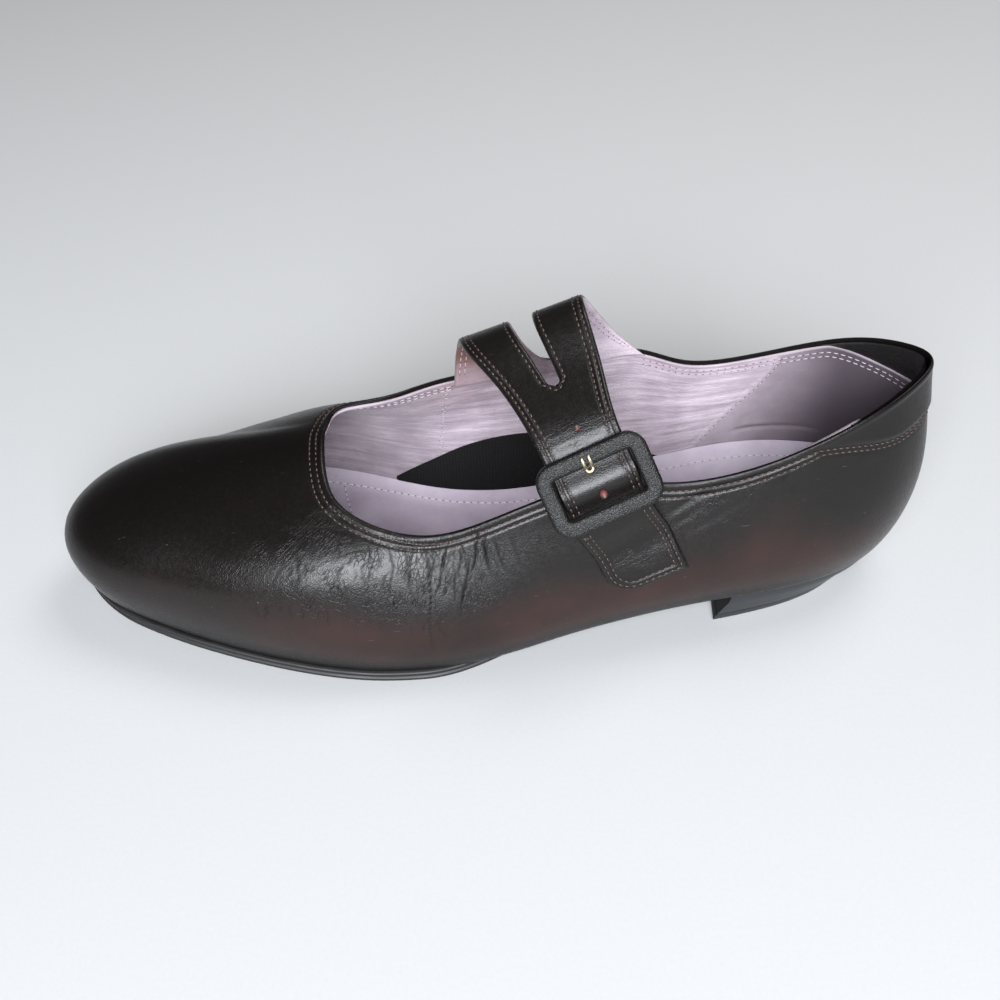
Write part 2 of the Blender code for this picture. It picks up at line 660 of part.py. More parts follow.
def stand_on_floor(pieces):
    """Parents every piece to one empty that puts the shoe's box over the origin."""
    bpy.context.view_layer.update()
    graph = bpy.context.evaluated_depsgraph_get()
    corners = []
    for piece in pieces:
        mesh = piece.evaluated_get(graph).to_mesh()
        points = np.empty(len(mesh.vertices) * 3, dtype=np.float32)
        mesh.vertices.foreach_get("co", points)
        corners.append(points.reshape(-1, 3))
    points = np.concatenate(corners)
    middle = (points.min(axis=0) + points.max(axis=0)) / 2
    base = bpy.data.objects.new("shoe_base", None)
    bpy.context.collection.objects.link(base)
    base.location = (-middle[0], -middle[1], -points[:, 2].min())
    for piece in pieces:
        piece.parent = base


def main():
    for old in list(bpy.data.objects):
        bpy.data.objects.remove(old)
    leather = material("waxed brown leather", "2a211d", 0.35)
    pieces = [
        upper(leather),
        strap(material("strap leather", "2c231f", 0.35)),
        outsole(material("sole edge", "1d1b1b", 0.45)),
        insole(material("lilac sock leather", "a99aa6", 0.7)),
        heel_block(material("covered heel", "232326", 0.4)),
        heel_lift(material("heel top piece", "161617", 0.55)),
        arch_gore(material("black textile", "121113", 0.9)),
        buckle_frame(material("pebbled buckle leather", "37322f", 0.6)),
        centre_bar(material("buckle bar", "5a5347", 0.4, 1.0)),
        buckle_prong(material("brass", "b59a6a", 0.3, 1.0)),
    ]
    stand_on_floor(pieces)


main()
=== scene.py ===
"""The dressed left mary jane shoe: creased waxed calf over a lilac lining, stitched edges,
a slit instep strap with a covered buckle, a thin sole and a low covered heel.

Every form follows the same last as the solids: the toe points to -X, the outer side to -Y
and the shoe stands on z = 0. Lengths are in metres.
"""

import math

import bmesh
import bpy
import numpy as np
from bpy.props import FloatProperty, FloatVectorProperty, PointerProperty
from mathutils import Matrix, Vector


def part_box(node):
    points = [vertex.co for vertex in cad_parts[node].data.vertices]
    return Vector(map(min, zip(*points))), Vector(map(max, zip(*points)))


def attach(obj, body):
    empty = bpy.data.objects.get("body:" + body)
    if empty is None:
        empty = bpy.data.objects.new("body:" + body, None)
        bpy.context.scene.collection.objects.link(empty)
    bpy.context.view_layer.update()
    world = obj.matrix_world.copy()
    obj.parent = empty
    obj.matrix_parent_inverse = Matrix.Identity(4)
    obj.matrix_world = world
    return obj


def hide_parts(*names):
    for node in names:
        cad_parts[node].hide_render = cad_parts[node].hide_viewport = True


bl_info = {
    "name": "Mary jane shoe",
    "version": (1, 0, 0),
    "blender": (4, 5, 0),
    "location": "View3D > Sidebar > Shoe",
    "description": "Builds a left mary jane shoe piece by piece over its solid model",
    "category": "Add Mesh",
}

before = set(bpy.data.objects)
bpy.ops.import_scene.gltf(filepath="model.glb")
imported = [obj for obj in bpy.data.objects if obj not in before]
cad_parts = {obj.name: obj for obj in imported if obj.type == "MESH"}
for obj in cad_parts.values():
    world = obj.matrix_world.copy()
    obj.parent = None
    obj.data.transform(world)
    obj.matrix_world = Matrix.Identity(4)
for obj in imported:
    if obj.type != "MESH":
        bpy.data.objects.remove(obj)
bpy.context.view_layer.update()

# Sizes of the last
LAST_LENGTH = 0.2475
BALL_WIDTH = 0.087
COLLAR_HEIGHT = 0.0745
INSTEP_HEIGHT = 0.0885
HALF_BALL = BALL_WIDTH / 2

# Sole and heel
SOLE_THICKNESS = 0.0035
TOE_SPRING = 0.0078
SEAT_HEIGHT = 0.0096
LIFT_THICKNESS = 0.0030
SOLE_OVERHANG = 0.0016
WAIST_TUCK = 0.0026
SEAT_TUCK = 0.0004
HEEL_BACK_TAPER = 0.0100
HEEL_SIDE_TAPER = 0.0018
HEEL_POINTING = 0.17
HEEL_BREAST_LEAN = 0.0043
BREAST_SETBACK = -0.0016
HEEL_LENGTH = 0.0525
HEEL_TUCK = 0.0014
BREAST_HOLLOW = 0.0012

# Leather and fittings
LEATHER = 0.002
STRAP_THICKNESS = 0.002
STRAP_WIDTH = 0.0222
STRAP_TAIL = 0.0370
STRAP_SLANT = math.radians(22)
BUCKLE_TILT = math.radians(31)
BUCKLE_RISE = 0.0037
BUCKLE_SET_BACK = 0.0012
TIP_RADIUS = 0.008
SLIT_WIDTH = 0.0064
SLIT_END = 0.0018
BAND_STEP = 0.0009
BAND_HEIGHT = 0.0145
BAND_EASE = 0.0013
INSOLE_THICKNESS = 0.0024
BUCKLE_BAR = 0.0038
BUCKLE_SIDE_GAP = 0.0006
BUCKLE_LENGTH = STRAP_WIDTH + 2 * (BUCKLE_BAR + BUCKLE_SIDE_GAP)
BUCKLE_HEIGHT = 0.0210
BUCKLE_DEPTH = 0.0036
STRAP_BULGE = 0.0019
PRONG_PLACE = -0.001
FRAME_LIFT = 0.0005
GAP = 0.0003
ROOT_GAP = 0.0009
ROOT_HEM = 0.0012
GORE_THICKNESS = 0.0009
GORE_REACH = 0.008
GORE_FOOT, GORE_TIP, GORE_HEIGHT = 0.08, 0.03, 0.43
RING_COUNT = 84             # columns of the solid sole, by which the two frames are matched

# Seams, edges and soft pieces
EDGE_ROLL = 0.00055         # radius of the upper's folded top edge
FIRST_SEAM = 0.0025         # stitch rows below the top line
SECOND_SEAM = 0.0044
SEAM_SPACING = 0.0013
BAND_SEAM = 0.0007          # first row below the heel band
FURROW_DEPTH = 0.00017
FURROW_HALF = 0.00046
LINING_FOOT = 0.015         # rise at which the lining starts, above the sole
LINING_THICKNESS = 0.0008
FACING_BACK = 0.0009        # heel facing's hidden back, in from the upper's outside
SOCK_GAP = 0.0009           # between the upper's inside and the sock's rim
SOCK_RIM, SEAT_CUP = 0.085, 0.14      # rise of the rim at the toe, and more at the seat
THREAD_CLEAR = 0.00002      # between a thread or a needle hole and the leather under it
HOLE_RIM = 0.00009          # needle hole's rim above the leather
ROLL_HEIGHT = 0.00022       # soft roll of the folded edge, above the first row
BETWEEN_HEIGHT = 0.00010    # leather pushed up between two rows
MILLIMETRE = 0.001
CREASE_SCALE = 0.55 * MILLIMETRE      # depth of a crease that its table gives as 1
CREASE_REACH = 0.004        # how far from its line a crease is looked for
LINING_EDGE, HEEL_DIP = 0.0010, 0.0112      # below the top line, and more at the heel
LINING_ROWS = (0.0017, 0.0034)        # rows of stitches below the lining's edge
SEAM_END = 0.001            # how close the rows round the shoe come to the strap's root
LINING_STITCH = (0.0021, 0.00018)     # pitch and thread radius
ZIGZAG_STITCH = (0.00175, 0.00015)
SOCK_STITCH = (0.0024, 0.00025)
EDGE_TRIM, WAIST_TRIM, TOE_TRIM = 0.0006, 0.0026, 0.0008      # sole's edge, in from the solid's
LIFT_GAP = 0.00012
HEEL_POINTS, BREAST_POINTS = 90, 26
COVER_PADDING = 0.0008      # buckle leather past the solid's bars, inwards
COVER_OUT = 0.0002          # and past its length and height
BUCKLE_CORNER = 0.0032
PRONG_HALF, PRONG_WIRE = 0.00095, 0.00050
PRONG_HOLE, PRONG_TIP = -0.0052, -0.0092      # along the strap from the buckle's middle

# The photograph's camera: angles in degrees, lens in millimetres
CAMERA_AZIMUTH, CAMERA_HEIGHT, CAMERA_ROLL = -0.808, 43.563, -2.221
CAMERA_LENS = 42.327
CAMERA_AWAY, CAMERA_RIGHT, CAMERA_UP = 0.350, 0.002247, -0.004971
CAMERA_TARGET = (0.1264, 0, 0.035)

# The last's stations, from the toe along the outer side to the heel and back inside:
# feather line x, y; top line x, y, z; how the wall leaves the one (out, up) and reaches
# the other (out, down). Shares of length for x, collar height for z, half ball elsewhere.
STATION_COLUMNS = ("foot_x", "foot_y", "top_x", "top_y", "top_z",
                   "low_out", "low_up", "high_out", "high_down")
STATIONS = {
    "toe":            (0.000, 0.000, 0.317, 0.074, 0.716, 0.38, 0.40, 1.15, 0.165),
    "outer toe":      (0.026, -0.30, 0.318, -0.06, 0.704, 0.33, 0.39, 1.10, 0.160),
    "outer box":      (0.090, -0.555, 0.322, -0.24, 0.676, 0.22, 0.37, 0.90, 0.130),
    "outer vamp":     (0.195, -0.79, 0.341, -0.46, 0.640, 0.15, 0.33, 0.55, 0.090),
    "outer ball":     (0.292, -0.94, 0.386, -0.62, 0.608, 0.14, 0.28, 0.33, 0.090),
    "outer throat":   (0.389, -1.01, 0.446, -0.69, 0.598, 0.14, 0.24, 0.16, 0.150),
    "outer waist":    (0.494, -0.96, 0.524, -0.68, 0.685, 0.15, 0.23, 0.10, 0.190),
    "outer buckle":   (0.598, -0.83, 0.620, -0.61, 0.770, 0.17, 0.23, 0.10, 0.200),
    "outer quarter":  (0.712, -0.75, 0.714, -0.57, 0.735, 0.17, 0.22, 0.10, 0.190),
    "outer seat":     (0.824, -0.67, 0.824, -0.54, 0.808, 0.14, 0.22, 0.09, 0.200),
    "outer counter":  (0.925, -0.50, 0.924, -0.39, 0.930, 0.22, 0.25, 0.07, 0.240),
    "outer back":     (0.982, -0.25, 0.978, -0.20, 0.985, 0.24, 0.28, 0.06, 0.270),
    "heel back":      (1.000, 0.000, 1.003, 0.000, 1.000, 0.26, 0.29, 0.07, 0.280),
    "inner back":     (0.982, 0.26, 0.981, 0.21, 0.980, 0.24, 0.28, 0.06, 0.270),
    "inner counter":  (0.925, 0.50, 0.928, 0.42, 0.920, 0.17, 0.25, 0.06, 0.240),
    "inner seat":     (0.824, 0.62, 0.832, 0.555, 0.812, 0.12, 0.22, 0.05, 0.200),
    "inner quarter":  (0.740, 0.56, 0.750, 0.605, 0.776, 0.08, 0.21, 0.05, 0.190),
    "strap rear":     (0.670, 0.49, 0.690, 0.625, 0.835, 0.10, 0.22, 0.05, 0.200),
    "inner arch":     (0.590, 0.48, 0.610, 0.610, 0.805, 0.12, 0.22, 0.05, 0.200),
    "strap front":    (0.478, 0.60, 0.471, 0.545, 0.777, 0.13, 0.22, 0.08, 0.200),
    "inner throat":   (0.385, 0.78, 0.395, 0.495, 0.720, 0.14, 0.24, 0.16, 0.150),
    "inner ball":     (0.290, 0.93, 0.343, 0.425, 0.712, 0.14, 0.28, 0.38, 0.130),
    "inner vamp":     (0.195, 0.88, 0.325, 0.330, 0.713, 0.15, 0.31, 0.68, 0.150),
    "inner box":      (0.090, 0.66, 0.321, 0.240, 0.716, 0.20, 0.355, 0.95, 0.170),
    "inner toe":      (0.026, 0.37, 0.318, 0.150, 0.717, 0.32, 0.38, 1.10, 0.160),
}
STRAP_RUNGS = {
    "fillet": ((0.474, 0.535, 0.730), (0.664, 0.640, 0.775)),
    "rise":   ((0.478, 0.490, 0.800), (0.634, 0.575, 0.905)),
    "crown":  ((0.486, 0.215, 0.872), (0.622, 0.265, 1.000)),
    "fall":   ((0.520, -0.105, 0.845), (0.634, -0.060, 0.918)),
}

# The creases that a foot has worked into the upper, each a soft trough through three
# points. Runs are shares of the way round the shoe from the toe, rises shares of the
# wall's height; widths are in millimetres and depths in units of CREASE_SCALE.
CREASES = (
    # first run and rise, middle, last, width, depth
    (0.1014, 0.830, 0.1221, 0.675, 0.1307, 0.540, 0.40, 0.20),
    (0.1036, 0.890, 0.1160, 0.810, 0.1264, 0.725, 0.34, 0.15),
    (0.1271, 0.650, 0.1414, 0.800, 0.1571, 0.875, 0.30, 0.08),
    (0.0921, 0.805, 0.1120, 0.880, 0.1300, 0.935, 0.28, 0.08),
    (0.0964, 0.920, 0.1180, 0.945, 0.1386, 0.960, 0.60, 0.20),
    (0.1080, 0.870, 0.1240, 0.900, 0.1420, 0.925, 0.50, 0.12),
    (0.1764, 0.945, 0.1850, 0.760, 0.2000, 0.525, 0.36, 0.15),
    (0.1907, 0.915, 0.2043, 0.635, 0.2185, 0.200, 0.42, 0.27),
    (0.2079, 0.940, 0.2075, 0.840, 0.2071, 0.745, 0.34, 0.16),
    (0.2136, 0.810, 0.2190, 0.650, 0.2229, 0.495, 0.34, 0.15),
    (0.2229, 0.865, 0.2257, 0.600, 0.2271, 0.410, 0.38, 0.20),
    (0.2336, 0.920, 0.2343, 0.790, 0.2421, 0.620, 0.46, 0.27),
    (0.2264, 0.965, 0.2286, 0.835, 0.2264, 0.550, 0.38, 0.19),
    (0.2050, 0.935, 0.2079, 0.725, 0.2086, 0.580, 0.34, 0.16),
    (0.1985, 0.930, 0.2000, 0.800, 0.2035, 0.660, 0.30, 0.13),
    (0.2175, 0.930, 0.2185, 0.800, 0.2195, 0.680, 0.32, 0.14),
    (0.2395, 0.900, 0.2430, 0.750, 0.2520, 0.600, 0.50, 0.14),
    (0.2475, 0.880, 0.2530, 0.720, 0.2620, 0.560, 0.60, 0.12),
    (0.1614, 0.935, 0.1750, 0.760, 0.1814, 0.575, 0.34, 0.12),
    (0.1257, 0.910, 0.1330, 0.840, 0.1400, 0.760, 0.30, 0.11),
    (0.1480, 0.920, 0.1600, 0.790, 0.1650, 0.660, 0.30, 0.10),
    (0.0993, 0.635, 0.1070, 0.570, 0.1164, 0.495, 0.30, 0.08),
    (0.3393, 0.780, 0.3521, 0.875, 0.3707, 0.960, 1.00, 0.34),
    (0.3421, 0.710, 0.3490, 0.760, 0.3571, 0.815, 0.70, 0.24),
    (0.3971, 0.835, 0.3990, 0.880, 0.4014, 0.930, 0.60, 0.18),
    (0.3543, 0.900, 0.3740, 0.935, 0.3943, 0.955, 0.90, 0.22),
    (0.3480, 0.640, 0.3620, 0.720, 0.3800, 0.800, 1.10, 0.18),
    (0.8400, 0.900, 0.8300, 0.720, 0.8180, 0.520, 0.60, 0.26),
    (0.8140, 0.930, 0.8060, 0.700, 0.8040, 0.480, 0.60, 0.34),
    (0.7960, 0.920, 0.7900, 0.720, 0.7890, 0.500, 0.60, 0.26),
    (0.7800, 0.900, 0.7760, 0.760, 0.7760, 0.620, 0.60, 0.22),
)


def periodic_spline(knots, total, rows):
    """The smooth closed curve through the rows, as a function of the run round it."""
    count = len(rows)
    spans = np.diff(np.append(knots, total))
    matrix = np.zeros((count, count))
    right = np.zeros_like(rows)
    for i in range(count):
        before, after = spans[i - 1], spans[i]
        ahead = (i + 1) % count
        matrix[i, i - 1] += before
        matrix[i, i] += 2 * (before + after)
        matrix[i, ahead] += after
        right[i] = 6 * ((rows[ahead] - rows[i]) / after - (rows[i] - rows[i - 1]) / before)
    bend = np.linalg.solve(matrix, right)

    def at(run):
        run = np.mod(run, total)
        i = np.searchsorted(knots, run, side="right") - 1
        ahead = (i + 1) % count
        span = spans[i][..., None]
        b = (run - knots[i])[..., None] / span
        a = 1 - b
        curve = a * rows[i] + b * rows[ahead]
        return curve + ((a**3 - a) * bend[i] + (b**3 - b) * bend[ahead]) * span**2 / 6

    return at


def open_spline_weights(knots, places):
    """How much each knot of a smooth open curve counts at each place along it."""
    count = len(knots)
    spans = np.diff(knots)
    matrix = np.eye(count)
    right = np.zeros((count, count))
    for i in range(1, count - 1):
        before, after = spans[i - 1], spans[i]
        matrix[i, i - 1:i + 2] = before, 2 * (before + after), after
        right[i, i - 1:i + 2] = 6 / before, -6 / before - 6 / after, 6 / after
    bend = np.linalg.solve(matrix, right)
    i = np.clip(np.searchsorted(knots, places, side="right") - 1, 0, count - 2)
    span = spans[i][:, None]
    b = (places - knots[i])[:, None] / span
    a = 1 - b
    rows = np.eye(count)
    flat = a * rows[i] + b * rows[i + 1]
    return flat + ((a**3 - a) * bend[i] + (b**3 - b) * bend[i + 1]) * span**2 / 6


UNITS = np.array([LAST_LENGTH, HALF_BALL, LAST_LENGTH, HALF_BALL, COLLAR_HEIGHT,
                  HALF_BALL, COLLAR_HEIGHT, HALF_BALL, COLLAR_HEIGHT])
TABLE = np.array(list(STATIONS.values())) * UNITS
COLUMN = {name: i for i, name in enumerate(STATION_COLUMNS)}
STEPS = np.linalg.norm(np.roll(TABLE[:, :2], -1, axis=0) - TABLE[:, :2], axis=1)
RUNS = np.concatenate([[0], np.cumsum(STEPS)[:-1]])
GIRTH = STEPS.sum()
STATION_AT = periodic_spline(RUNS, GIRTH, TABLE)
STATION_RUN = dict(zip(STATIONS, RUNS))
HEEL_RUN = STATION_RUN["heel back"]
TOE_BREAK = 0.365 * LAST_LENGTH
BALL_BREAK = 0.420 * LAST_LENGTH
SEAT_BREAK = LAST_LENGTH - HEEL_LENGTH


def smooth(x):
    """A soft step from 0 to 1."""
    x = np.clip(x, 0, 1)
    return x * x * (3 - 2 * x)


def hump(x, middle, width, power=2):
    """A soft bell: 1 at the middle, near 0 two widths away."""
    return np.exp(-((x - middle) / width) ** power)


def eased(count):
    """Places from 0 to 1, closer together at both ends."""
    return 0.5 - 0.5 * np.cos(np.linspace(0, math.pi, count))


def unit(vectors):
    """The same directions, one long."""
    return vectors / np.linalg.norm(vectors, axis=-1, keepdims=True)


def soft_noise(u, v, seed):
    """Smooth uneven values from -1 to 1, one swell to each unit of u and v."""
    table = np.random.default_rng(seed).uniform(-1, 1, (64, 64))
    i, j = np.floor(u).astype(int), np.floor(v).astype(int)
    a, b = smooth(u - i), smooth(v - j)
    low = table[i % 64, j % 64] * (1 - a) + table[(i + 1) % 64, j % 64] * a
    high = table[i % 64, (j + 1) % 64] * (1 - a) + table[(i + 1) % 64, (j + 1) % 64] * a
    return low * (1 - b) + high * b


def underside(x):
    """Height of the sole's underside at x behind the toe."""
    toe = TOE_SPRING * np.clip((TOE_BREAK - x) / TOE_BREAK, 0, None) ** 1.45
    return toe + SEAT_HEIGHT * smooth((x - BALL_BREAK) / (SEAT_BREAK - BALL_BREAK)) ** 1.3


def plan_outward(run, first):
    """Unit vector in plan, square to the feather line or the top line and out of it."""
    step = GIRTH * 1e-4
    ahead = STATION_AT(run + step)[..., first:first + 2]
    ahead = ahead - STATION_AT(run - step)[..., first:first + 2]
    return unit(np.stack([ahead[..., 1], -ahead[..., 0]], axis=-1))


def plain_wall(run, rise):
    """The outside of the upper without its heel band; rise is 0 below and 1 on top."""
    row = STATION_AT(run)
    col = {name: row[..., i:i + 1] for name, i in COLUMN.items()}
    foot_z = underside(col["foot_x"]) + SOLE_THICKNESS + GAP
    foot = np.concatenate([col["foot_x"], col["foot_y"], foot_z], axis=-1)
    top = np.concatenate([col["top_x"], col["top_y"], col["top_z"]], axis=-1)
    low = foot + np.concatenate([plan_outward(run, COLUMN["foot_x"]) * col["low_out"],
                                 col["low_up"]], axis=-1)
    high = top + np.concatenate([plan_outward(run, COLUMN["top_x"]) * col["high_out"],
                                 -col["high_down"]], axis=-1)
    v = rise[..., None]
    w = 1 - v
    return w**3 * foot + 3 * w * w * v * low + 3 * w * v * v * high + v**3 * top


def wall_normal(run, rise):
    """Outward unit normal of the upper's plain outside."""
    along = plain_wall(run + GIRTH * 1e-4, rise) - plain_wall(run - GIRTH * 1e-4, rise)
    inside = np.clip(rise, 1e-3, 1 - 1e-3)
    up = plain_wall(run, inside + 1e-3) - plain_wall(run, inside - 1e-3)
    return unit(np.cross(along, up))


def band_share(run):
    """How much of the padded heel band's height there is: 1 at the back, 0 in front."""
    reach = HEEL_RUN - STATION_RUN["outer seat"]
    return smooth(1.25 * (1 - np.abs(run - HEEL_RUN) / reach))


def wall(run, rise, offset=0.0):
    """The upper's outside with its heel band, moved out by offset."""
    plain = plain_wall(run, rise)
    share = band_share(run)
    fall = STATION_AT(run)[..., COLUMN["top_z"]] - plain[..., 2]
    band = BAND_STEP * share * smooth((BAND_HEIGHT * share - fall) / BAND_EASE)
    return plain + wall_normal(run, rise) * (band + offset)[..., None]


def rise_below_top(run, drop):
    """The rise of the point at a distance below the top line, measured on the wall."""
    levels = np.linspace(1, 0.45, 56)
    path = plain_wall(run[:, None] + 0 * levels, levels + 0 * run[:, None])
    steps = np.linalg.norm(np.diff(path, axis=1), axis=-1)
    falls = np.concatenate([np.zeros((len(run), 1)), np.cumsum(steps, axis=1)], axis=1)
    return np.array([np.interp(d, f, levels) for d, f in zip(np.broadcast_to(drop, len(run)),
                                                            falls)])


def on_outer_quarter(x, z):
    """Run and rise of the outside's point at x and z on the outer quarter."""
    run = np.full(np.shape(x), STATION_RUN["outer buckle"])
    rise = np.full(np.shape(x), 0.6)
    for _ in range(40):
        point = plain_wall(run, rise)
        run = run + 0.7 * (x - point[..., 0])
        rise = np.clip(rise + 0.7 * (z - point[..., 2]) / COLLAR_HEIGHT, 0.02, 1.0)
    return run, rise


def buckle_axes():
    """Centre of the strap under the buckle, and its across, along and outward axes."""
    out = np.array([0, -math.cos(BUCKLE_TILT), math.sin(BUCKLE_TILT)])
    down = np.array([0, -math.sin(BUCKLE_TILT), -math.cos(BUCKLE_TILT)])
    level = np.array([1.0, 0, 0])
    along = down * math.cos(STRAP_SLANT) + level * math.sin(STRAP_SLANT)
    across = level * math.cos(STRAP_SLANT) - down * math.sin(STRAP_SLANT)
    run = np.array(STATION_RUN["outer buckle"] + 0.0015)
    centre = plain_wall(run, np.array(1.0)) + out * BUCKLE_RISE - along * BUCKLE_SET_BACK
    return centre, across, along, out


BUCKLE_CENTRE, ACROSS, ALONG, OUTWARD = buckle_axes()


def strap_knots(side):
    """The strap's guide points for places across it, 0 at the front edge, 1 behind."""
    share = side[..., None]
    root_run = STATION_RUN["strap front"] * (1 - side) + STATION_RUN["strap rear"] * side
    root_rise = np.ones_like(side)
    root = plain_wall(root_run, root_rise)
    up = unit(root - plain_wall(root_run, root_rise - 0.02))
    root = root - wall_normal(root_run, root_rise) * LEATHER / 2 + up * ROOT_GAP
    units = np.array([LAST_LENGTH, HALF_BALL, INSTEP_HEIGHT])
    knots = [root]
    for front, rear in STRAP_RUNGS.values():
        knots.append((np.array(front) * (1 - share) + np.array(rear) * share) * units)
    spread = ACROSS * (share - 0.5) * STRAP_WIDTH
    for share_along in (-0.50, -0.25, 0, 0.25, 0.50):
        knots.append(BUCKLE_CENTRE + spread + ALONG * share_along * BUCKLE_HEIGHT)
    for share_along in (0.68, 0.85, 1.0, 1.15):
        target = BUCKLE_CENTRE + spread + ALONG * share_along * STRAP_TAIL
        run, rise = on_outer_quarter(target[..., 0], target[..., 2])
        clear = GAP + STRAP_THICKNESS / 2
        knots.append(plain_wall(run, rise) + wall_normal(run, rise) * clear)
    return np.stack(knots, axis=-2)


STRAP_MIDDLE = strap_knots(np.array(0.5))
STRAP_PLACES = np.concatenate(
    [[0], np.cumsum(np.linalg.norm(np.diff(STRAP_MIDDLE, axis=0), axis=1))])
BUCKLE_PLACE = STRAP_PLACES[7]
TIP_PLACE = BUCKLE_PLACE + STRAP_TAIL
WINDOW_HALF = BUCKLE_HEIGHT / 2 - BUCKLE_BAR
SLIT_FROM = ROOT_HEM
SLIT_TO = BUCKLE_PLACE - 0.0297
SIDE_STEPS = np.linspace(0, 1, 41)
SIDE_KNOTS = strap_knots(SIDE_STEPS)


def strap_point(place, side):
    """Middle layer of the strap at a distance from its root and a place across."""
    flat_place, flat_side = np.ravel(place), np.ravel(side)
    held = np.maximum(flat_place, 0)
    weights = open_spline_weights(STRAP_PLACES, held)
    knots = np.stack([[np.interp(flat_side, SIDE_STEPS, SIDE_KNOTS[:, k, d])
                       for d in range(3)] for k in range(SIDE_KNOTS.shape[1])])
    points = np.einsum("nk,kdn->nd", weights, knots)
    below = np.minimum(flat_place, 0)[:, None]
    ahead = np.einsum("nk,kdn->nd", open_spline_weights(STRAP_PLACES, held + 1e-4), knots)
    points = points + unit(ahead - points) * below
    bulge = STRAP_BULGE * smooth(1 - np.abs(flat_place - BUCKLE_PLACE) / WINDOW_HALF)
    points = points + OUTWARD * bulge[:, None]
    return points.reshape(*np.shape(place), 3)


def strap_normal(place, side):
    """Unit normal of the strap's middle layer, out of the shoe."""
    along = strap_point(place + 2e-4, side) - strap_point(place - 2e-4, side)
    low, high = np.clip(side - 0.01, 0, 1), np.clip(side + 0.01, 0, 1)
    normal = unit(np.cross(along, strap_point(place, high) - strap_point(place, low)))
    return -normal if np.mean(normal[..., 2]) < 0 else normal


def strap_width(place):
    """The strap's width at each place along it, from a short table made once."""
    places = np.linspace(0, TIP_PLACE, 121)
    edges = strap_point(places, np.zeros(121)), strap_point(places, np.ones(121))
    return np.interp(place, places, np.linalg.norm(edges[1] - edges[0], axis=-1))


def tip_end(side):
    """Where the strap ends: square behind, with a round corner in front."""
    inset = np.clip(TIP_RADIUS - side * STRAP_WIDTH, 0, TIP_RADIUS)
    return TIP_PLACE - TIP_RADIUS + np.sqrt(TIP_RADIUS**2 - inset**2)


def slit_half(place):
    """Half the slit's opening, as a share of the strap's width there."""
    share = np.clip((place - SLIT_FROM) / (SLIT_TO - SLIT_FROM), 0, 1)
    rounded = SLIT_END / (SLIT_TO - SLIT_FROM)
    end = np.clip(1 - (1 - share) / rounded, 0, 1)
    start = np.clip(1 - share / rounded, 0, 1)
    half = SLIT_WIDTH / 2 * (0.5 + 0.55 * np.sin(math.pi * share**0.7))
    return half * np.sqrt((1 - end**2) * (1 - start**2)) / strap_width(place)


def foot_ring(run, out):
    """The feather line in plan, moved outwards, as x and y."""
    return STATION_AT(run)[..., :2] + plan_outward(run, 0) * np.asarray(out)[..., None]


def sole_overhang(run):
    """The sole's edge: proud round the forepart, tucked under at the waist."""
    x = STATION_AT(run)[..., 0] / LAST_LENGTH
    waist = smooth((x - 0.42) / 0.16) * (1 - smooth((x - 0.70) / 0.12))
    heel = smooth((x - 0.70) / 0.12)
    forepart = 1 - smooth((x - 0.42) / 0.16)
    return SOLE_OVERHANG * forepart - WAIST_TUCK * waist - SEAT_TUCK * heel


def heel_outline(height, inset):
    """Plan of the heel at a height: round the back, closed by its breast, then drawn in."""
    drop = (1 - np.clip(height / SEAT_HEIGHT, 0, 1)) ** 0.8
    breast = LAST_LENGTH - HEEL_LENGTH + BREAST_SETBACK - HEEL_BREAST_LEAN * drop
    run = np.linspace(0, GIRTH, 1201)
    behind = run[STATION_AT(run)[:, 0] > breast + HEEL_TUCK]
    run = np.linspace(behind[0], behind[-1], HEEL_POINTS)
    plan = foot_ring(run, np.full(HEEL_POINTS, -HEEL_TUCK))
    back = (plan[:, 0] - breast) / (plan[:, 0].max() - breast)
    plan[:, 0] -= back**2 * HEEL_BACK_TAPER * drop
    plan[:, 1] -= np.sign(plan[:, 1]) * HEEL_SIDE_TAPER * drop * (1 - back)
    plan[:, 1] *= 1 - HEEL_POINTING * drop * back
    hollow = np.linspace(plan[-1], plan[0], BREAST_POINTS)
    hollow[:, 0] += BREAST_HOLLOW * np.sin(np.linspace(0, math.pi, BREAST_POINTS))
    plan = np.vstack([plan, hollow[1:-1]])
    return plan + (plan.mean(axis=0) - plan) * inset / HALF_BALL * 1.7


def frame_shift():
    """What brings the last's own axes, with the toe at x = 0, into the frame."""
    run = np.arange(RING_COUNT) / RING_COUNT * GIRTH
    plan = foot_ring(run, sole_overhang(run))
    low, high = (np.array(corner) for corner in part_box("outsole"))
    own = (plan.min(axis=0) + plan.max(axis=0)) / 2
    middle = (low + high)[:2] / 2
    return np.array([middle[0] - own[0], middle[1] - own[1], 0.0])


SHIFT = frame_shift()


def linear(hex_colour):
    """A colour written as sRGB hex, turned linear."""
    parts = [int(hex_colour[i:i + 2], 16) / 255 for i in (0, 2, 4)]
    return tuple(c / 12.92 if c <= 0.04045 else ((c + 0.055) / 1.055) ** 2.4
                 for c in parts)


def connect(tree, node, links):
    """Links a node's sockets to others, or sets them; colours are sRGB hex or linear."""
    for key, value in links.items():
        socket = node.inputs[key]
        if isinstance(value, bpy.types.NodeSocket):
            tree.links.new(value, socket)
        elif socket.type == "RGBA":
            socket.default_value = (*(linear(value) if isinstance(value, str) else value), 1)
        else:
            socket.default_value = value


def add(tree, kind, links, out=0, **settings):
    """Adds one node with its settings and links, and gives one of its outputs."""
    made = tree.nodes.new("ShaderNode" + kind)
    for name, value in settings.items():
        setattr(made, name, value)
    connect(tree, made, links)
    return made.outputs[out]


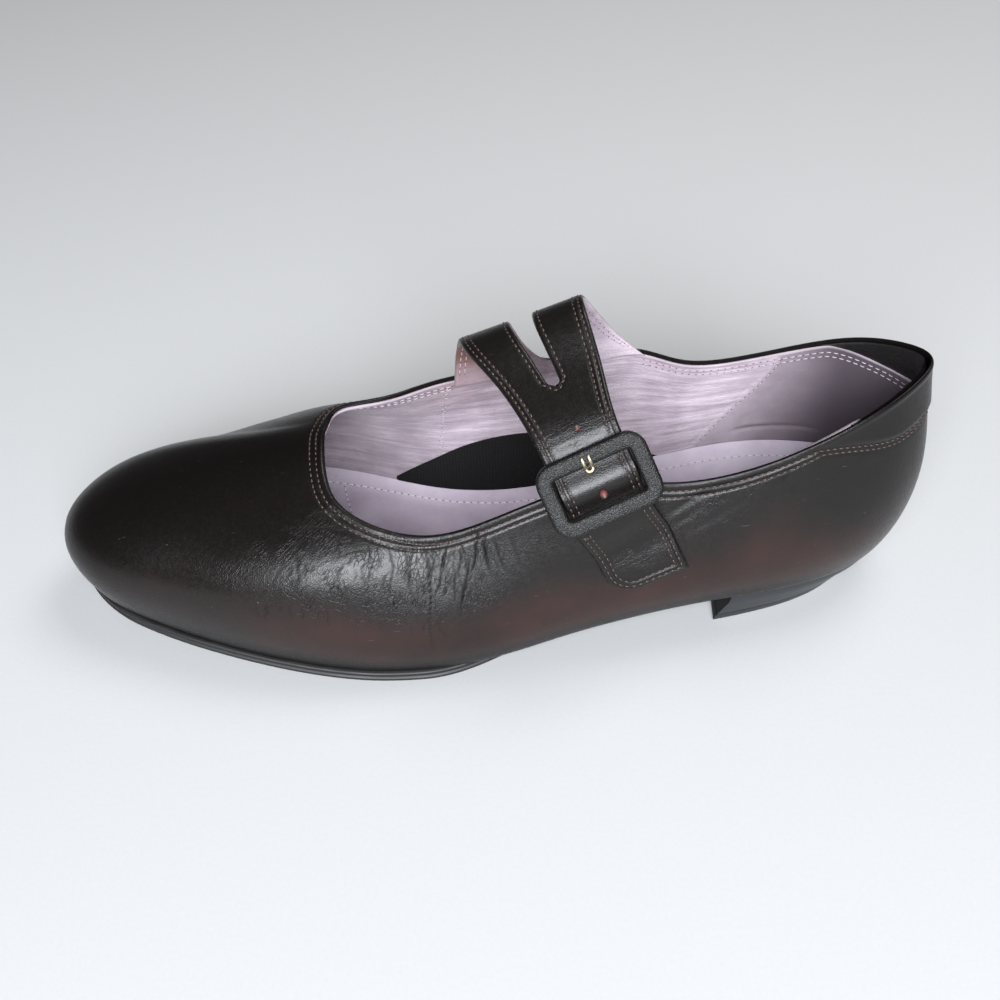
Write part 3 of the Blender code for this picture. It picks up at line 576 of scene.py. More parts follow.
def blank_material(name, *labels):
    """A new material: its tree, its shader, where patterns are measured, and its marks."""
    made = bpy.data.materials.new(name)
    made.use_nodes = True
    tree = made.node_tree
    place = add(tree, "TexCoord", {}, "Object")
    marks = [add(tree, "Attribute", {}, "Fac", attribute_name=label) for label in labels]
    return made, tree, tree.nodes["Principled BSDF"], place, *marks


def waxed_calf(name, dark, warm, roughness, warm_share=0.5):
    """Smooth calf, drum-dyed and waxed: near black in shade, red-brown where it is worn."""
    made, tree, shader, place, crease, flex, raw, inked, low, over, along = blank_material(
        name, "crease", "flex", "raw", "inked", "low", "over", "along")
    # cloudy dye, in patches 30 mm across, redder towards the sole
    cloud = add(tree, "TexNoise", {"Vector": place, "Scale": 33, "Detail": 3,
                                   "Roughness": 0.55}, "Fac")
    red = add(tree, "Math", {0: cloud, 1: low, 2: -0.28}, operation="MULTIPLY_ADD")
    red = add(tree, "Math", {0: cloud, 1: warm_share, 2: red}, operation="MULTIPLY_ADD")
    dye = add(tree, "Mix", {0: red, 6: dark, 7: warm}, 2, data_type="RGBA")
    # grain pits about 0.4 mm apart; a flexed skin breaks into long cells 1.2 mm wide
    pits = add(tree, "TexVoronoi", {"Vector": place, "Scale": 2300}, "Distance")
    along = add(tree, "Math", {0: along, 1: 0.38}, operation="MULTIPLY")
    skin_place = add(tree, "CombineXYZ", {0: over, 1: along})
    warp = add(tree, "TexNoise", {"Vector": place, "Scale": 330, "Detail": 3}, "Color")
    warp = add(tree, "VectorMath", {0: warp, "Scale": 0.0024}, operation="SCALE")
    bent = add(tree, "VectorMath", {0: skin_place, 1: warp})
    broken = add(tree, "TexVoronoi", {"Vector": bent, "Scale": 850}, "Distance",
                 feature="DISTANCE_TO_EDGE")
    cracks = add(tree, "MapRange", {0: broken, 1: 0.0, 2: 0.10, 3: 1.0, 4: 0.0})
    patch = add(tree, "TexNoise", {"Vector": place, "Scale": 170, "Detail": 2}, "Fac")
    patch = add(tree, "MapRange", {0: patch, 1: 0.42, 2: 0.62, 3: 0.0, 4: 1.0})
    patch = add(tree, "Math", {0: patch, 1: flex}, operation="MULTIPLY")
    fold = add(tree, "Math", {0: cracks, 1: patch}, operation="MULTIPLY")
    # painted shade in the creases and in the flexed skin's cracks, as one mark from 0 to 1
    line = add(tree, "Math", {0: fold, 1: 0.5, 2: crease}, operation="MULTIPLY_ADD",
               use_clamp=True)
    waves = add(tree, "TexNoise", {"Vector": place, "Scale": 760, "Detail": 4,
                                   "Roughness": 0.65}, "Fac")
    # hair-fine scuffs that follow the length of the shoe, and a few pale specks
    long_way = add(tree, "Mapping", {0: place, "Rotation": (0, 0.1, -0.5),
                                     "Scale": (60, 2600, 1500)})
    scuff = add(tree, "TexNoise", {"Vector": long_way, "Scale": 1, "Detail": 1}, "Fac")
    scuff = add(tree, "MapRange", {0: scuff, 1: 0.76, 2: 0.84, 3: 0.0, 4: 0.12})
    specks = add(tree, "TexVoronoi", {"Vector": place, "Scale": 85}, "Distance")
    specks = add(tree, "MapRange", {0: specks, 1: 0.010, 2: 0.020, 3: 0.22, 4: 0.0})
    scuff = add(tree, "Math", {0: scuff, 1: specks}, operation="MAXIMUM")
    # pale scuffs and specks; near black painted shade in the creases and cracks; edge ink, with
    # painted shade near the sole, at the toe and round the heel; raw leather in the punched
    # holes
    for share, colour in ((scuff, "b9aea6"), (line, "060404"), (inked, "0a0707"),
                          (raw, "6b3a36")):
        dye = add(tree, "Mix", {0: share, 6: dye, 7: colour}, 2, data_type="RGBA")
    # wax lies thin in the creases and on the inked edges, so they shine less, and the painted
    # shade near the sole, at the toe and round the heel shines less too
    rough = add(tree, "MapRange", {0: waves, 1: 0.3, 2: 0.7, 3: roughness - 0.05,
                                   4: roughness + 0.07})
    rough = add(tree, "Math", {0: line, 1: 0.45, 2: rough}, operation="MULTIPLY_ADD")
    dull = add(tree, "Math", {0: inked, 1: 0.85}, operation="MULTIPLY")
    dull = add(tree, "Math", {0: dull, 1: line}, operation="MAXIMUM")
    shine = add(tree, "Math", {0: dull, 1: -0.40, 2: 0.5}, operation="MULTIPLY_ADD")
    bump = add(tree, "Bump", {"Height": pits, "Strength": 0.22, "Distance": 0.0002})
    bump = add(tree, "Bump", {"Height": waves, "Strength": 0.13, "Distance": 0.0003,
                              "Normal": bump})
    bump = add(tree, "Bump", {"Height": fold, "Strength": 0.35, "Distance": 0.0003,
                              "Normal": bump}, invert=True)
    connect(tree, shader, {"Base Color": dye, "Roughness": rough, "Normal": bump,
                           "Specular IOR Level": shine, "IOR": 1.41, "Coat Weight": 0.08,
                           "Coat Roughness": 0.22})
    return made


def pigskin_lining(name, pale, dull, roughness):
    """Thin lining leather, dyed lilac: matte and cloudy, brown where a foot has rubbed it,
    darker on its suede pad, and with painted shade in its creases and over shaded parts.
    """
    made, tree, shader, place, crease, suede, tan, flex, over, along = blank_material(
        name, "crease", "suede", "tan", "flex", "over", "along")
    cloud = add(tree, "TexNoise", {"Vector": place, "Scale": 60, "Detail": 5,
                                   "Roughness": 0.6}, "Fac")
    cloud = add(tree, "MapRange", {0: cloud, 1: 0.35, 2: 0.70, 3: 0.0, 4: 0.7})
    dye = pale
    # over the cloudy dye: the suede pad with painted shade, the brown rub, and painted shade in
    # the creases
    for share, colour in ((cloud, dull), (suede, "453b43"), (tan, "5e3e34"),
                          (crease, "5a4a52")):
        dye = add(tree, "Mix", {0: share, 6: dye, 7: colour}, 2, data_type="RGBA")
    pores = add(tree, "TexVoronoi", {"Vector": place, "Scale": 1700}, "Distance")
    nap = add(tree, "TexNoise", {"Vector": place, "Scale": 900, "Detail": 3}, "Fac")
    # fine lines along the shoe, about 1.2 mm apart, where the lining gathers at each step
    skin_place = add(tree, "CombineXYZ", {0: over, 1: along})
    drawn = add(tree, "Mapping", {0: skin_place, "Rotation": (0, 0, 0.12),
                                  "Scale": (150, 820, 1)})
    folds = add(tree, "TexNoise", {"Vector": drawn, "Scale": 1, "Detail": 3,
                                   "Roughness": 0.55, "Distortion": 1.3}, "Fac")
    folds = add(tree, "MapRange", {0: folds, 1: 0.34, 2: 0.56, 3: 0.0, 4: 1.0})
    folds = add(tree, "Math", {0: folds, 1: flex}, operation="MULTIPLY")
    bump = add(tree, "Bump", {"Height": pores, "Strength": 0.12, "Distance": 0.0003})
    bump = add(tree, "Bump", {"Height": nap, "Strength": 0.3, "Distance": 0.0003,
                              "Normal": bump})
    bump = add(tree, "Bump", {"Height": folds, "Strength": 0.32, "Distance": 0.0004,
                              "Normal": bump})
    connect(tree, shader, {"Base Color": dye, "Normal": bump, "Roughness": roughness,
                           "Sheen Weight": 0.15})
    return made


def pebbled_leather(name, dark, light):
    """Embossed goat-grain leather on the buckle: a matte pebble about 0.33 mm across."""
    made, tree, shader, place = blank_material(name)
    pebble = add(tree, "TexVoronoi", {"Vector": place, "Scale": 3000, "Smoothness": 0.5},
                 "Distance", feature="SMOOTH_F1")
    tone = add(tree, "MapRange", {0: pebble, 1: 0.1, 2: 0.6, 3: 1.0, 4: 0.0})
    dye = add(tree, "Mix", {0: tone, 6: dark, 7: light}, 2, data_type="RGBA")
    bump = add(tree, "Bump", {"Height": pebble, "Strength": 0.75, "Distance": 0.0002},
               invert=True)
    connect(tree, shader, {"Base Color": dye, "Normal": bump, "Roughness": 0.42, "IOR": 1.4})
    return made


def ribbed_elastic(name, dark, light):
    """Woven elastic that swallows the light: ribs drawn 1 mm apart, coarse enough to show."""
    made, tree, shader, place = blank_material(name)
    ribs = add(tree, "TexWave", {"Vector": place, "Scale": 320, "Distortion": 0.6,
                                 "Detail": 1}, "Fac", bands_direction="X")
    cross = add(tree, "TexWave", {"Vector": place, "Scale": 420, "Distortion": 0.4}, "Fac",
                bands_direction="Z")
    weave = add(tree, "Math", {0: ribs, 1: cross}, operation="MULTIPLY")
    yarn = add(tree, "Mix", {0: weave, 6: dark, 7: light}, 2, data_type="RGBA")
    bump = add(tree, "Bump", {"Height": weave, "Strength": 0.5, "Distance": 0.0003})
    connect(tree, shader, {"Base Color": yarn, "Normal": bump, "Roughness": 0.9,
                           "IOR": 1.3, "Sheen Weight": 0.03})
    return made


def stained_edge(name, dark, light, roughness):
    """A trimmed, inked and waxed sole or heel edge, with faint lines from the trimmer."""
    made, tree, shader, place = blank_material(name)
    lines = add(tree, "Mapping", {0: place, "Scale": (90, 90, 2600)})
    lines = add(tree, "TexNoise", {"Vector": lines, "Scale": 1, "Detail": 3}, "Fac")
    ink = add(tree, "Mix", {0: lines, 6: dark, 7: light}, 2, data_type="RGBA")
    rough = add(tree, "MapRange", {0: lines, 1: 0.3, 2: 0.7, 3: roughness - 0.06,
                                   4: roughness + 0.08})
    bump = add(tree, "Bump", {"Height": lines, "Strength": 0.12, "Distance": 0.0002})
    connect(tree, shader, {"Base Color": ink, "Roughness": rough, "Normal": bump})
    return made


def bonded_thread(name, dark, light):
    """Bonded polyester thread, twisted: satin, cloudy where the twist catches the light."""
    made, tree, shader, place = blank_material(name)
    twist = add(tree, "TexNoise", {"Vector": place, "Scale": 2500, "Detail": 2}, "Fac")
    dye = add(tree, "Mix", {0: twist, 6: dark, 7: light}, 2, data_type="RGBA")
    connect(tree, shader, {"Base Color": dye, "Roughness": 0.38})
    return made


def plated_wire(name, tint, roughness):
    """Wire plated pale brass and rubbed by the leather: soft, slightly cloudy shine."""
    made, tree, shader, place = blank_material(name)
    cloud = add(tree, "TexNoise", {"Vector": place, "Scale": 900, "Detail": 3}, "Fac")
    dye = add(tree, "Mix", {0: cloud, 6: tint, 7: "8f7a54"}, 2, data_type="RGBA")
    rough = add(tree, "MapRange", {0: cloud, 1: 0.3, 2: 0.7, 3: roughness - 0.05,
                                   4: roughness + 0.1})
    connect(tree, shader, {"Base Color": dye, "Roughness": rough, "Metallic": 1.0})
    return made


def grid_faces(rows, cols, wrap_rows=False, wrap_cols=False, start=0):
    """Four-sided faces over rows and columns of points."""
    i = np.arange(rows if wrap_rows else rows - 1)[:, None]
    j = np.arange(cols if wrap_cols else cols - 1)[None, :]
    up, right = (i + 1) % rows, (j + 1) % cols
    corners = [i * cols + j, i * cols + right, up * cols + right, up * cols + j]
    return (np.stack(np.broadcast_arrays(*corners), axis=-1) + start).reshape(-1, 4)


def layers(upper, lower):
    """Points and faces of two layers of the same grid, turned away from each other."""
    rows, cols = upper.shape[:2]
    faces = [grid_faces(rows, cols), grid_faces(rows, cols, start=rows * cols)[:, ::-1]]
    return np.concatenate([upper.reshape(-1, 3), lower.reshape(-1, 3)]), faces


def shown_rows(rows, **marks):
    """Marks of the rows that show, with zeros for the hidden rows after them."""
    return {label: np.vstack([values, np.zeros((rows - len(values), values.shape[1]))])
            for label, values in marks.items()}


def enclosed(points, faces):
    """Signed volume of a mesh of four-sided faces."""
    a, b, c, d = (points[faces[:, k]] for k in range(4))
    return (np.einsum("nk,nk->n", a, np.cross(b, c))
            + np.einsum("nk,nk->n", a, np.cross(c, d))).sum() / 6


def piece(name, points, faces, finishes, stands_for=(), slot=None, slots=None, marks=None,
          extra=(), weld=0.0):
    """One smooth piece that rides with the shoe. marks are values for its points."""
    points = np.asarray(points).reshape(-1, 3)
    faces = np.asarray(faces)
    if enclosed(points, faces) < 0:
        faces = faces[:, ::-1]
        extra = [list(face)[::-1] for face in extra]
    mesh = bpy.data.meshes.new(name)
    mesh.from_pydata((points + SHIFT).tolist(), [], faces.tolist() + [list(f) for f in extra])
    for finish in finishes:
        mesh.materials.append(finish)
    if slots is not None:
        filled = list(slots) + [0] * len(extra)
        mesh.polygons.foreach_set("material_index", filled)
    for label, values in (marks or {}).items():
        layer = mesh.attributes.new(label, "FLOAT", "POINT")
        layer.data.foreach_set("value", np.ravel(values).astype(np.float32))
    if weld:
        shell = bmesh.new()
        shell.from_mesh(mesh)
        bmesh.ops.remove_doubles(shell, verts=shell.verts, dist=weld)
        shell.to_mesh(mesh)
        shell.free()
    mesh.shade_smooth()
    made = bpy.data.objects.new(name, mesh)
    bpy.context.collection.objects.link(made)
    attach(made, "root")
    if stands_for:
        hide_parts(*stands_for)
    return made


def fine_creases(count):
    """Short shallow creases between the main ones, leaning the way that those lean."""
    chance = np.random.default_rng(7)
    made = []
    for _ in range(count):
        run = chance.choice([0.116, 0.150, 0.205, 0.222]) + chance.normal(0, 0.013)
        rise = chance.uniform(0.42, 0.93)
        lean = np.interp(run, [0.10, 0.13, 0.17, 0.21, 0.24], [0.075, 0.06, 0.04, 0.02, 0.03])
        lean = lean + chance.normal(0, 0.02)
        long = chance.uniform(0.05, 0.14)
        bow = chance.normal(0, 0.0016)
        low = max(0.3, rise - long)
        made.append((run, rise, run + lean * (rise - low) / 2 + bow, (rise + low) / 2,
                     run + lean * (rise - low), low, chance.uniform(0.2, 0.32),
                     chance.uniform(0.03, 0.09)))
    return made


def crease_field(points):
    """Depth in metres, and painted shade from 0 to 1 in the creases' troughs, at each point."""
    depth = np.zeros(points.shape[:-1])
    dark = np.zeros(points.shape[:-1])
    for crease in (*CREASES, *fine_creases(150)):
        run_a, rise_a, run_b, rise_b, run_c, rise_c, wide, deep = crease
        t = np.linspace(0, 1, 34)
        bend = [(1 - t) * (1 - 2 * t), 4 * t * (1 - t), t * (2 * t - 1)]
        run = bend[0] * run_a + bend[1] * run_b + bend[2] * run_c
        rise = bend[0] * rise_a + bend[1] * rise_b + bend[2] * rise_c
        sway = 0.0006 * soft_noise(t * 7, 0 * t + run_a * 900, 5)
        line = plain_wall(run * GIRTH + sway, rise)
        fade = np.sin(math.pi * (0.04 + 0.92 * t)) ** 0.7
        low, high = line.min(axis=0) - CREASE_REACH, line.max(axis=0) + CREASE_REACH
        near = np.all((points > low) & (points < high), axis=-1)
        if not near.any():
            continue
        apart = np.linalg.norm(points[near][:, None] - line[None], axis=-1)
        first = apart.argmin(axis=1)
        away = apart[np.arange(len(first)), first] / (wide * MILLIMETRE)
        strength = fade[first]
        trough = np.exp(-away**2)
        ridge = np.exp(-((away - 2.3) / 1.3) ** 2)
        depth[near] -= deep * CREASE_SCALE * strength * (trough - 0.12 * ridge)
        # painted shade in the trough, darker for a deep and narrow crease
        ink = min(0.95, 0.35 + deep * 3.0) * min(1, 0.42 / wide) * strength * trough
        dark[near] = np.maximum(dark[near], ink)
    return depth, dark


def seam_drops(run):
    """How far below the top line the two rows of stitches lie, first and second."""
    band = BAND_HEIGHT * band_share(run)
    first = np.maximum(FIRST_SEAM, band + BAND_SEAM)
    return first, np.maximum(first + SEAM_SPACING, SECOND_SEAM)


def edge_relief(run, drop):
    """The folded edge's soft roll, and the two furrows that its stitches pull in."""
    first, second = seam_drops(run)
    roll = ROLL_HEIGHT * hump(drop, 0.0013, 0.0008)
    between = BETWEEN_HEIGHT * hump(drop, (first + second) / 2, 0.0006)
    furrows = hump(drop, first, FURROW_HALF) + hump(drop, second, FURROW_HALF)
    return roll + between - FURROW_DEPTH * furrows


def upper_columns(count):
    """Runs round the shoe, closer together over the outer vamp and waist."""
    share = np.linspace(0, 1, 4001)
    weight = 1 + 4.0 * smooth((share - 0.075) / 0.02) * smooth((0.275 - share) / 0.02)
    weight = weight + 0.8 * hump(share, 0.805, 0.04, 4)
    filled = np.concatenate([[0], np.cumsum((weight[1:] + weight[:-1]) / 2)])
    return np.interp(np.arange(count) / count, filled / filled[-1], share) * GIRTH


def outer_shell(finish):
    """The creased outer leather with its folded top edge, one closed wall."""
    columns = upper_columns(800)
    levels = np.concatenate([np.linspace(0, 0.80, 56), np.linspace(0.80, 1, 41)[1:]])
    run, rise = np.meshgrid(columns, levels)
    share = run / GIRTH
    plain = plain_wall(run, rise)
    steps = np.linalg.norm(np.diff(plain, axis=0), axis=-1)
    drop = np.concatenate([np.cumsum(steps[::-1], axis=0)[::-1], 0 * steps[:1]])
    keep = smooth(drop / EDGE_ROLL)
    depth, dark = crease_field(plain)
    # where the leather flexes: the outer vamp, the inner ball, the outer quarter
    flex = 0
    for most, middle, width, low in ((1.0, 0.17, 0.075, 0.25), (0.7, 0.80, 0.05, 0.3),
                                     (0.5, 0.365, 0.03, 0.5)):
        flex = flex + most * hump(share, middle, width, 4) * smooth((rise - low) / 0.3)
    puckers = soft_noise(run / 0.0042 + rise * 3, rise * 5, 11)
    puckers = puckers + 0.5 * soft_noise(run / 0.0019 + rise * 5, rise * 11, 12)
    swell = 0.00008 * soft_noise(run / 0.022, rise * 4, 3) + 0.00002 * flex * puckers
    relief = (edge_relief(run, drop) + depth * keep + swell) * keep
    edge = np.sqrt(np.clip(1 - (1 - np.clip(drop / EDGE_ROLL, 0, 1)) ** 2, 0, 1))
    outside = wall(run, rise, relief - EDGE_ROLL * (1 - edge))
    # the inside, back down from the fold
    inside = []
    for level, back in ((0.9985, 1.0), (0.985, 1.95),
                        *((v, 2.0) for v in np.linspace(0.95, 0, 17))):
        inside.append(wall(columns, np.full(len(columns), level),
                           np.full(len(columns), -EDGE_ROLL * back)))
    # the lasting margin, turned in under the foot
    for inwards, down in ((0.0035, 0.00004), (0.0060, 0.00010), (0.0060, 0.00024),
                          (0.0009, 0.00025)):
        plan = foot_ring(columns, np.full(len(columns), -inwards))
        level = underside(plan[:, 0]) + SOLE_THICKNESS + GAP - down
        inside.append(np.column_stack([plan, level]))
    points = np.concatenate([outside, np.array(inside)])
    rows, cols = points.shape[:2]
    below = smooth((rise - 0.03) / 0.12) * (1 - smooth((rise - 0.28) / 0.30))
    below = below * (0.25 + 0.75 * smooth((share - 0.08) / 0.07) * smooth((0.60 - share) / 0.1))
    below = below + 0.9 * hump(share, 0.392, 0.022) * hump(rise, 0.5, 0.2)
    # edge ink along the folded top edge, and painted shade: darker near the sole, over the toe,
    # and from round the heel to the inner arch
    inked = 0.9 * smooth((0.00085 - drop) / 0.0004) + 0.75 * (1 - smooth((rise - 0.02) / 0.11))
    back = smooth((share - 0.43) / 0.06) * smooth((0.68 - share) / 0.06)
    toe = 1 - smooth((0.5 - np.abs(share - 0.5)) / 0.08)
    inked = np.maximum(inked, 0.75 * back + 0.75 * toe)
    marks = shown_rows(rows, crease=dark * keep, flex=flex, low=below, inked=inked,
                       over=run + rise * 0.009, along=rise * 0.06)
    # the rows inside the shoe, back down from the fold, are darkened to 0.6
    marks["inked"][len(levels):] = 0.6
    return piece("upper_leather", points, grid_faces(rows, cols, True, True), [finish],
                 stands_for=("upper",), slot="upper", marks=marks)


def lining_top(run):
    """How far the lining's edge lies below the top line: deep over the heel facing."""
    dip = smooth(1 - np.abs(run - HEEL_RUN) / (0.061 * GIRTH)) ** 0.7
    return LINING_EDGE + HEEL_DIP * dip


def heel_seam_run(rise):
    """Where the heel lining starts on the inner side, as a run."""
    return GIRTH * (0.5835 + 0.0365 * np.clip((0.93 - rise) / 0.70, 0, 1) ** 1.15)


def lining_face(run, rise):
    """The lining's visible face, inside the shoe, with its wrinkles and its heel pad."""
    share = run / GIRTH
    height = rise * 60
    lean = height + run / 0.03
    fine = soft_noise(run / 0.014, lean / 1.5, 21)
    fine = fine + 0.6 * soft_noise(run / 0.008, lean / 0.95, 22)
    fine = fine * (0.45 + 0.55 * smooth((share - 0.56) / 0.06) * smooth((0.93 - share) / 0.06))
    long_folds = soft_noise(run / 0.05, height / 4.5, 23)
    front = np.abs(run - HEEL_RUN) - (heel_seam_run(rise) - HEEL_RUN)
    pad = smooth(-front / 0.0012)
    dents = soft_noise(run / 0.012, height / 9 + run / 0.02, 24)
    relief = (1 - pad) * (0.00015 * fine + 0.0003 * long_folds) + pad * 0.00028 * dents
    relief = relief - 0.0007 * heel_crease(run, rise)
    seam = 0.00035 * pad - 0.00025 * hump(front, 0, 0.0008)
    depth = LEATHER + seam + relief
    return plain_wall(run, rise) - wall_normal(run, rise) * depth[..., None], pad, fine


def heel_crease(run, rise):
    """The one long crease across the heel pad, from 0 to 1."""
    across = (run / GIRTH - 0.574) / 0.027
    middle = 0.325 - 0.02 * across**2
    return hump(rise, middle, 0.016) * smooth(2.2 - 2.2 * np.abs(across))


def root_tan(run):
    """How brown the lining has rubbed in front of the strap's root, from 0 to 1."""
    return 0.75 * hump(run / GIRTH, 0.757, 0.024)


def lining(finish):
    """The lilac lining, one closed skin from the insole up to just under the top line."""
    columns = np.arange(570) / 570 * GIRTH
    tops = rise_below_top(columns, lining_top(columns))
    climb = np.concatenate([np.linspace(0, 0.9, 110), np.linspace(0.9, 1, 16)[1:]])[:, None]
    rise = LINING_FOOT + (tops - LINING_FOOT) * climb
    run = np.broadcast_to(columns, rise.shape)
    share = run / GIRTH
    face, pad, fine = lining_face(run, rise)
    crest = (plain_wall(columns, tops + 0.003)
             - wall_normal(columns, tops) * (LEATHER - LINING_THICKNESS / 2))
    rows = [face, crest[None]]
    for down in np.linspace(0, 1, 20):
        level = tops - down * (tops - LINING_FOOT)
        rows.append((plain_wall(columns, level)
                     - wall_normal(columns, level) * (LEATHER - LINING_THICKNESS))[None])
    points = np.concatenate(rows)
    count, cols = points.shape[:2]
    # the suede heel pad, fainter towards its front, with painted shade over the lining's front
    # part; painted shade in the wrinkles' troughs and in the heel pad's crease
    backward = smooth((0.105 - np.abs(run - HEEL_RUN) / GIRTH) / 0.06)
    shaded = 0.32 * smooth((share - 0.73) / 0.06) * (1 - pad)
    marks = shown_rows(
        count, suede=pad * (0.30 + 0.70 * backward) + shaded,
        tan=0.55 * root_tan(run) * smooth((rise - 0.6) / 0.4),
        crease=np.clip(-fine * 0.25, 0, 1) * (1 - pad) + 0.8 * heel_crease(run, rise),
        flex=(1 - 0.75 * pad) * (0.35 + 0.65 * smooth((share - 0.56) / 0.06)),
        over=run, along=rise * 0.06)
    return piece("lining", points, grid_faces(count, cols, True, True), [finish],
                 slot="insole", marks=marks)


def strap_edges(place, side):
    """Distances to the strap's outer edge and tip, and to its slit."""
    width = strap_width(place)
    across = np.minimum(side, 1 - side) * width
    corner_x = TIP_RADIUS - side * STRAP_WIDTH
    corner_y = place - (TIP_PLACE - TIP_RADIUS)
    corner = TIP_RADIUS - np.hypot(corner_x, corner_y)
    outer = np.minimum(across, TIP_PLACE - place)
    outer = np.where((corner_x > 0) & (corner_y > 0), np.minimum(outer, corner), outer)
    beyond = np.maximum(place - SLIT_TO, 0) + np.maximum(SLIT_FROM - place, 0)
    slit = np.hypot(np.maximum(np.abs(side - 0.5) - slit_half(place), 0) * width, beyond)
    return np.maximum(outer, 0), slit


STRAP_ROWS = (0.0015, 0.0031)      # rows of stitches in from the edge
SLIT_ROW = 0.0017
PUNCHED = ((-0.0154, 0.53, 0.45), (-0.0040, 0.485, 0.5), (0.0026, 0.50, 0.95))
STRAP_START = -0.004               # the strap's root, sunk below the top line


def strap_top(place, side):
    """Relief of the strap's face: stitch furrows, punched holes and folds."""
    outer, slit = strap_edges(place, side)
    relief = BETWEEN_HEIGHT * hump(outer, sum(STRAP_ROWS) / 2, 0.0005)
    for row in STRAP_ROWS:
        relief = relief - 0.00016 * hump(outer, row, 0.0004)
    relief = relief - 0.00014 * hump(slit, SLIT_ROW, 0.0004)
    along = place - BUCKLE_PLACE
    width = strap_width(place)
    folds = soft_noise(place / 0.0011, side * width / 0.007, 31)
    folds = folds + 0.6 * soft_noise(place / 0.0021, side * width / 0.005 + 9, 32)
    where = hump(along, -0.0135, 0.0035) + 0.55 * hump(along, 0.024, 0.009) + 0.10
    relief = relief + 0.00007 * folds * where
    raw = 0 * place
    for hole_along, hole_side, size in PUNCHED:
        away = np.hypot(along - hole_along, (side - hole_side) * width) / (0.001 * size)
        relief = relief - 0.0008 * size * smooth(1.35 - away)
        raw = np.maximum(raw, smooth((1.25 - away) / 0.5))
    return relief, raw, np.clip(where, 0, 1)


def strap_leather(face, under):
    """The strap: dark calf on top, lining below, both closed round a soft edge."""
    rows = np.linspace(STRAP_START, TIP_PLACE - TIP_RADIUS - 0.001, 250)
    tail = np.sin(np.linspace(0, math.pi / 2, 48))[1:, None]
    points, faces, slots = [], [], []
    marks = {label: [] for label in ("raw", "flex", "over", "along", "crease", "tan")}
    for front in (True, False):
        side = eased(41) / 2 if front else 0.5 + eased(41) / 2
        level = rows[:, None] * np.ones(len(side))
        place = np.vstack([level, rows[-1] + tail * (tip_end(side) - rows[-1])])
        gap = slit_half(place)
        side = np.broadcast_to(side, place.shape)
        side = side * (1 - 2 * gap) if front else 1 - (1 - side) * (1 - 2 * gap)
        middle, normal = strap_point(place, side), strap_normal(place, side)
        outer, slit = strap_edges(place, side)
        near = np.minimum(np.minimum(outer, slit), np.maximum(place - STRAP_START, 0))
        near = np.where(slit < 1e-7, 0, near) if front else near
        edge = np.sqrt(1 - (1 - np.clip(near / 0.0009, 0, 1)) ** 2)
        relief, raw, where = strap_top(place, side)
        proud = 0.00006 * smooth(1 + place / 0.002)
        # the underside's marks run on from the lining's, which it is cut in one with
        root = STATION_RUN["strap front"] * (1 - side) + STATION_RUN["strap rear"] * side
        ripple = soft_noise(root / 0.014, 40 + place / 0.0016 + root / 0.05, 21)
        brown = (0.5 + 0.5 * smooth((place + 0.002) / 0.012)) * smooth((0.72 - side) / 0.5)
        # painted shade in the stitch furrows and punched dents on top, and in the wrinkles'
        # troughs below
        top = {"raw": raw, "flex": 0.8 * where, "over": place, "along": side * STRAP_WIDTH,
               "crease": 0.35 * np.clip(-relief / 0.0004, 0, 1), "tan": brown}
        below = {"raw": 0 * raw, "flex": 0.6 + 0 * place, "over": root, "along": 0.06 + place,
                 "crease": np.clip(-ripple * 0.25, 0, 1), "tan": brown}
        for sign, shown in ((1, top), (-1, below)):
            height = edge * STRAP_THICKNESS / 2 + (relief + proud if sign > 0 else 0.0) * edge
            made = grid_faces(*place.shape, start=sum(len(p) for p in points))
            faces.append(made[:, ::sign])
            points.append((middle + normal * (sign * height)[..., None]).reshape(-1, 3))
            slots.append(np.full(len(made), 0 if sign > 0 else 1))
            for label, values in shown.items():
                marks[label].append(np.ravel(values))
    marks = {label: np.concatenate(values) for label, values in marks.items()}
    return piece("strap_leather", np.concatenate(points), np.concatenate(faces), [face, under],
                 stands_for=("strap",), slot="strap", slots=np.concatenate(slots),
                 marks=marks, weld=2e-6)


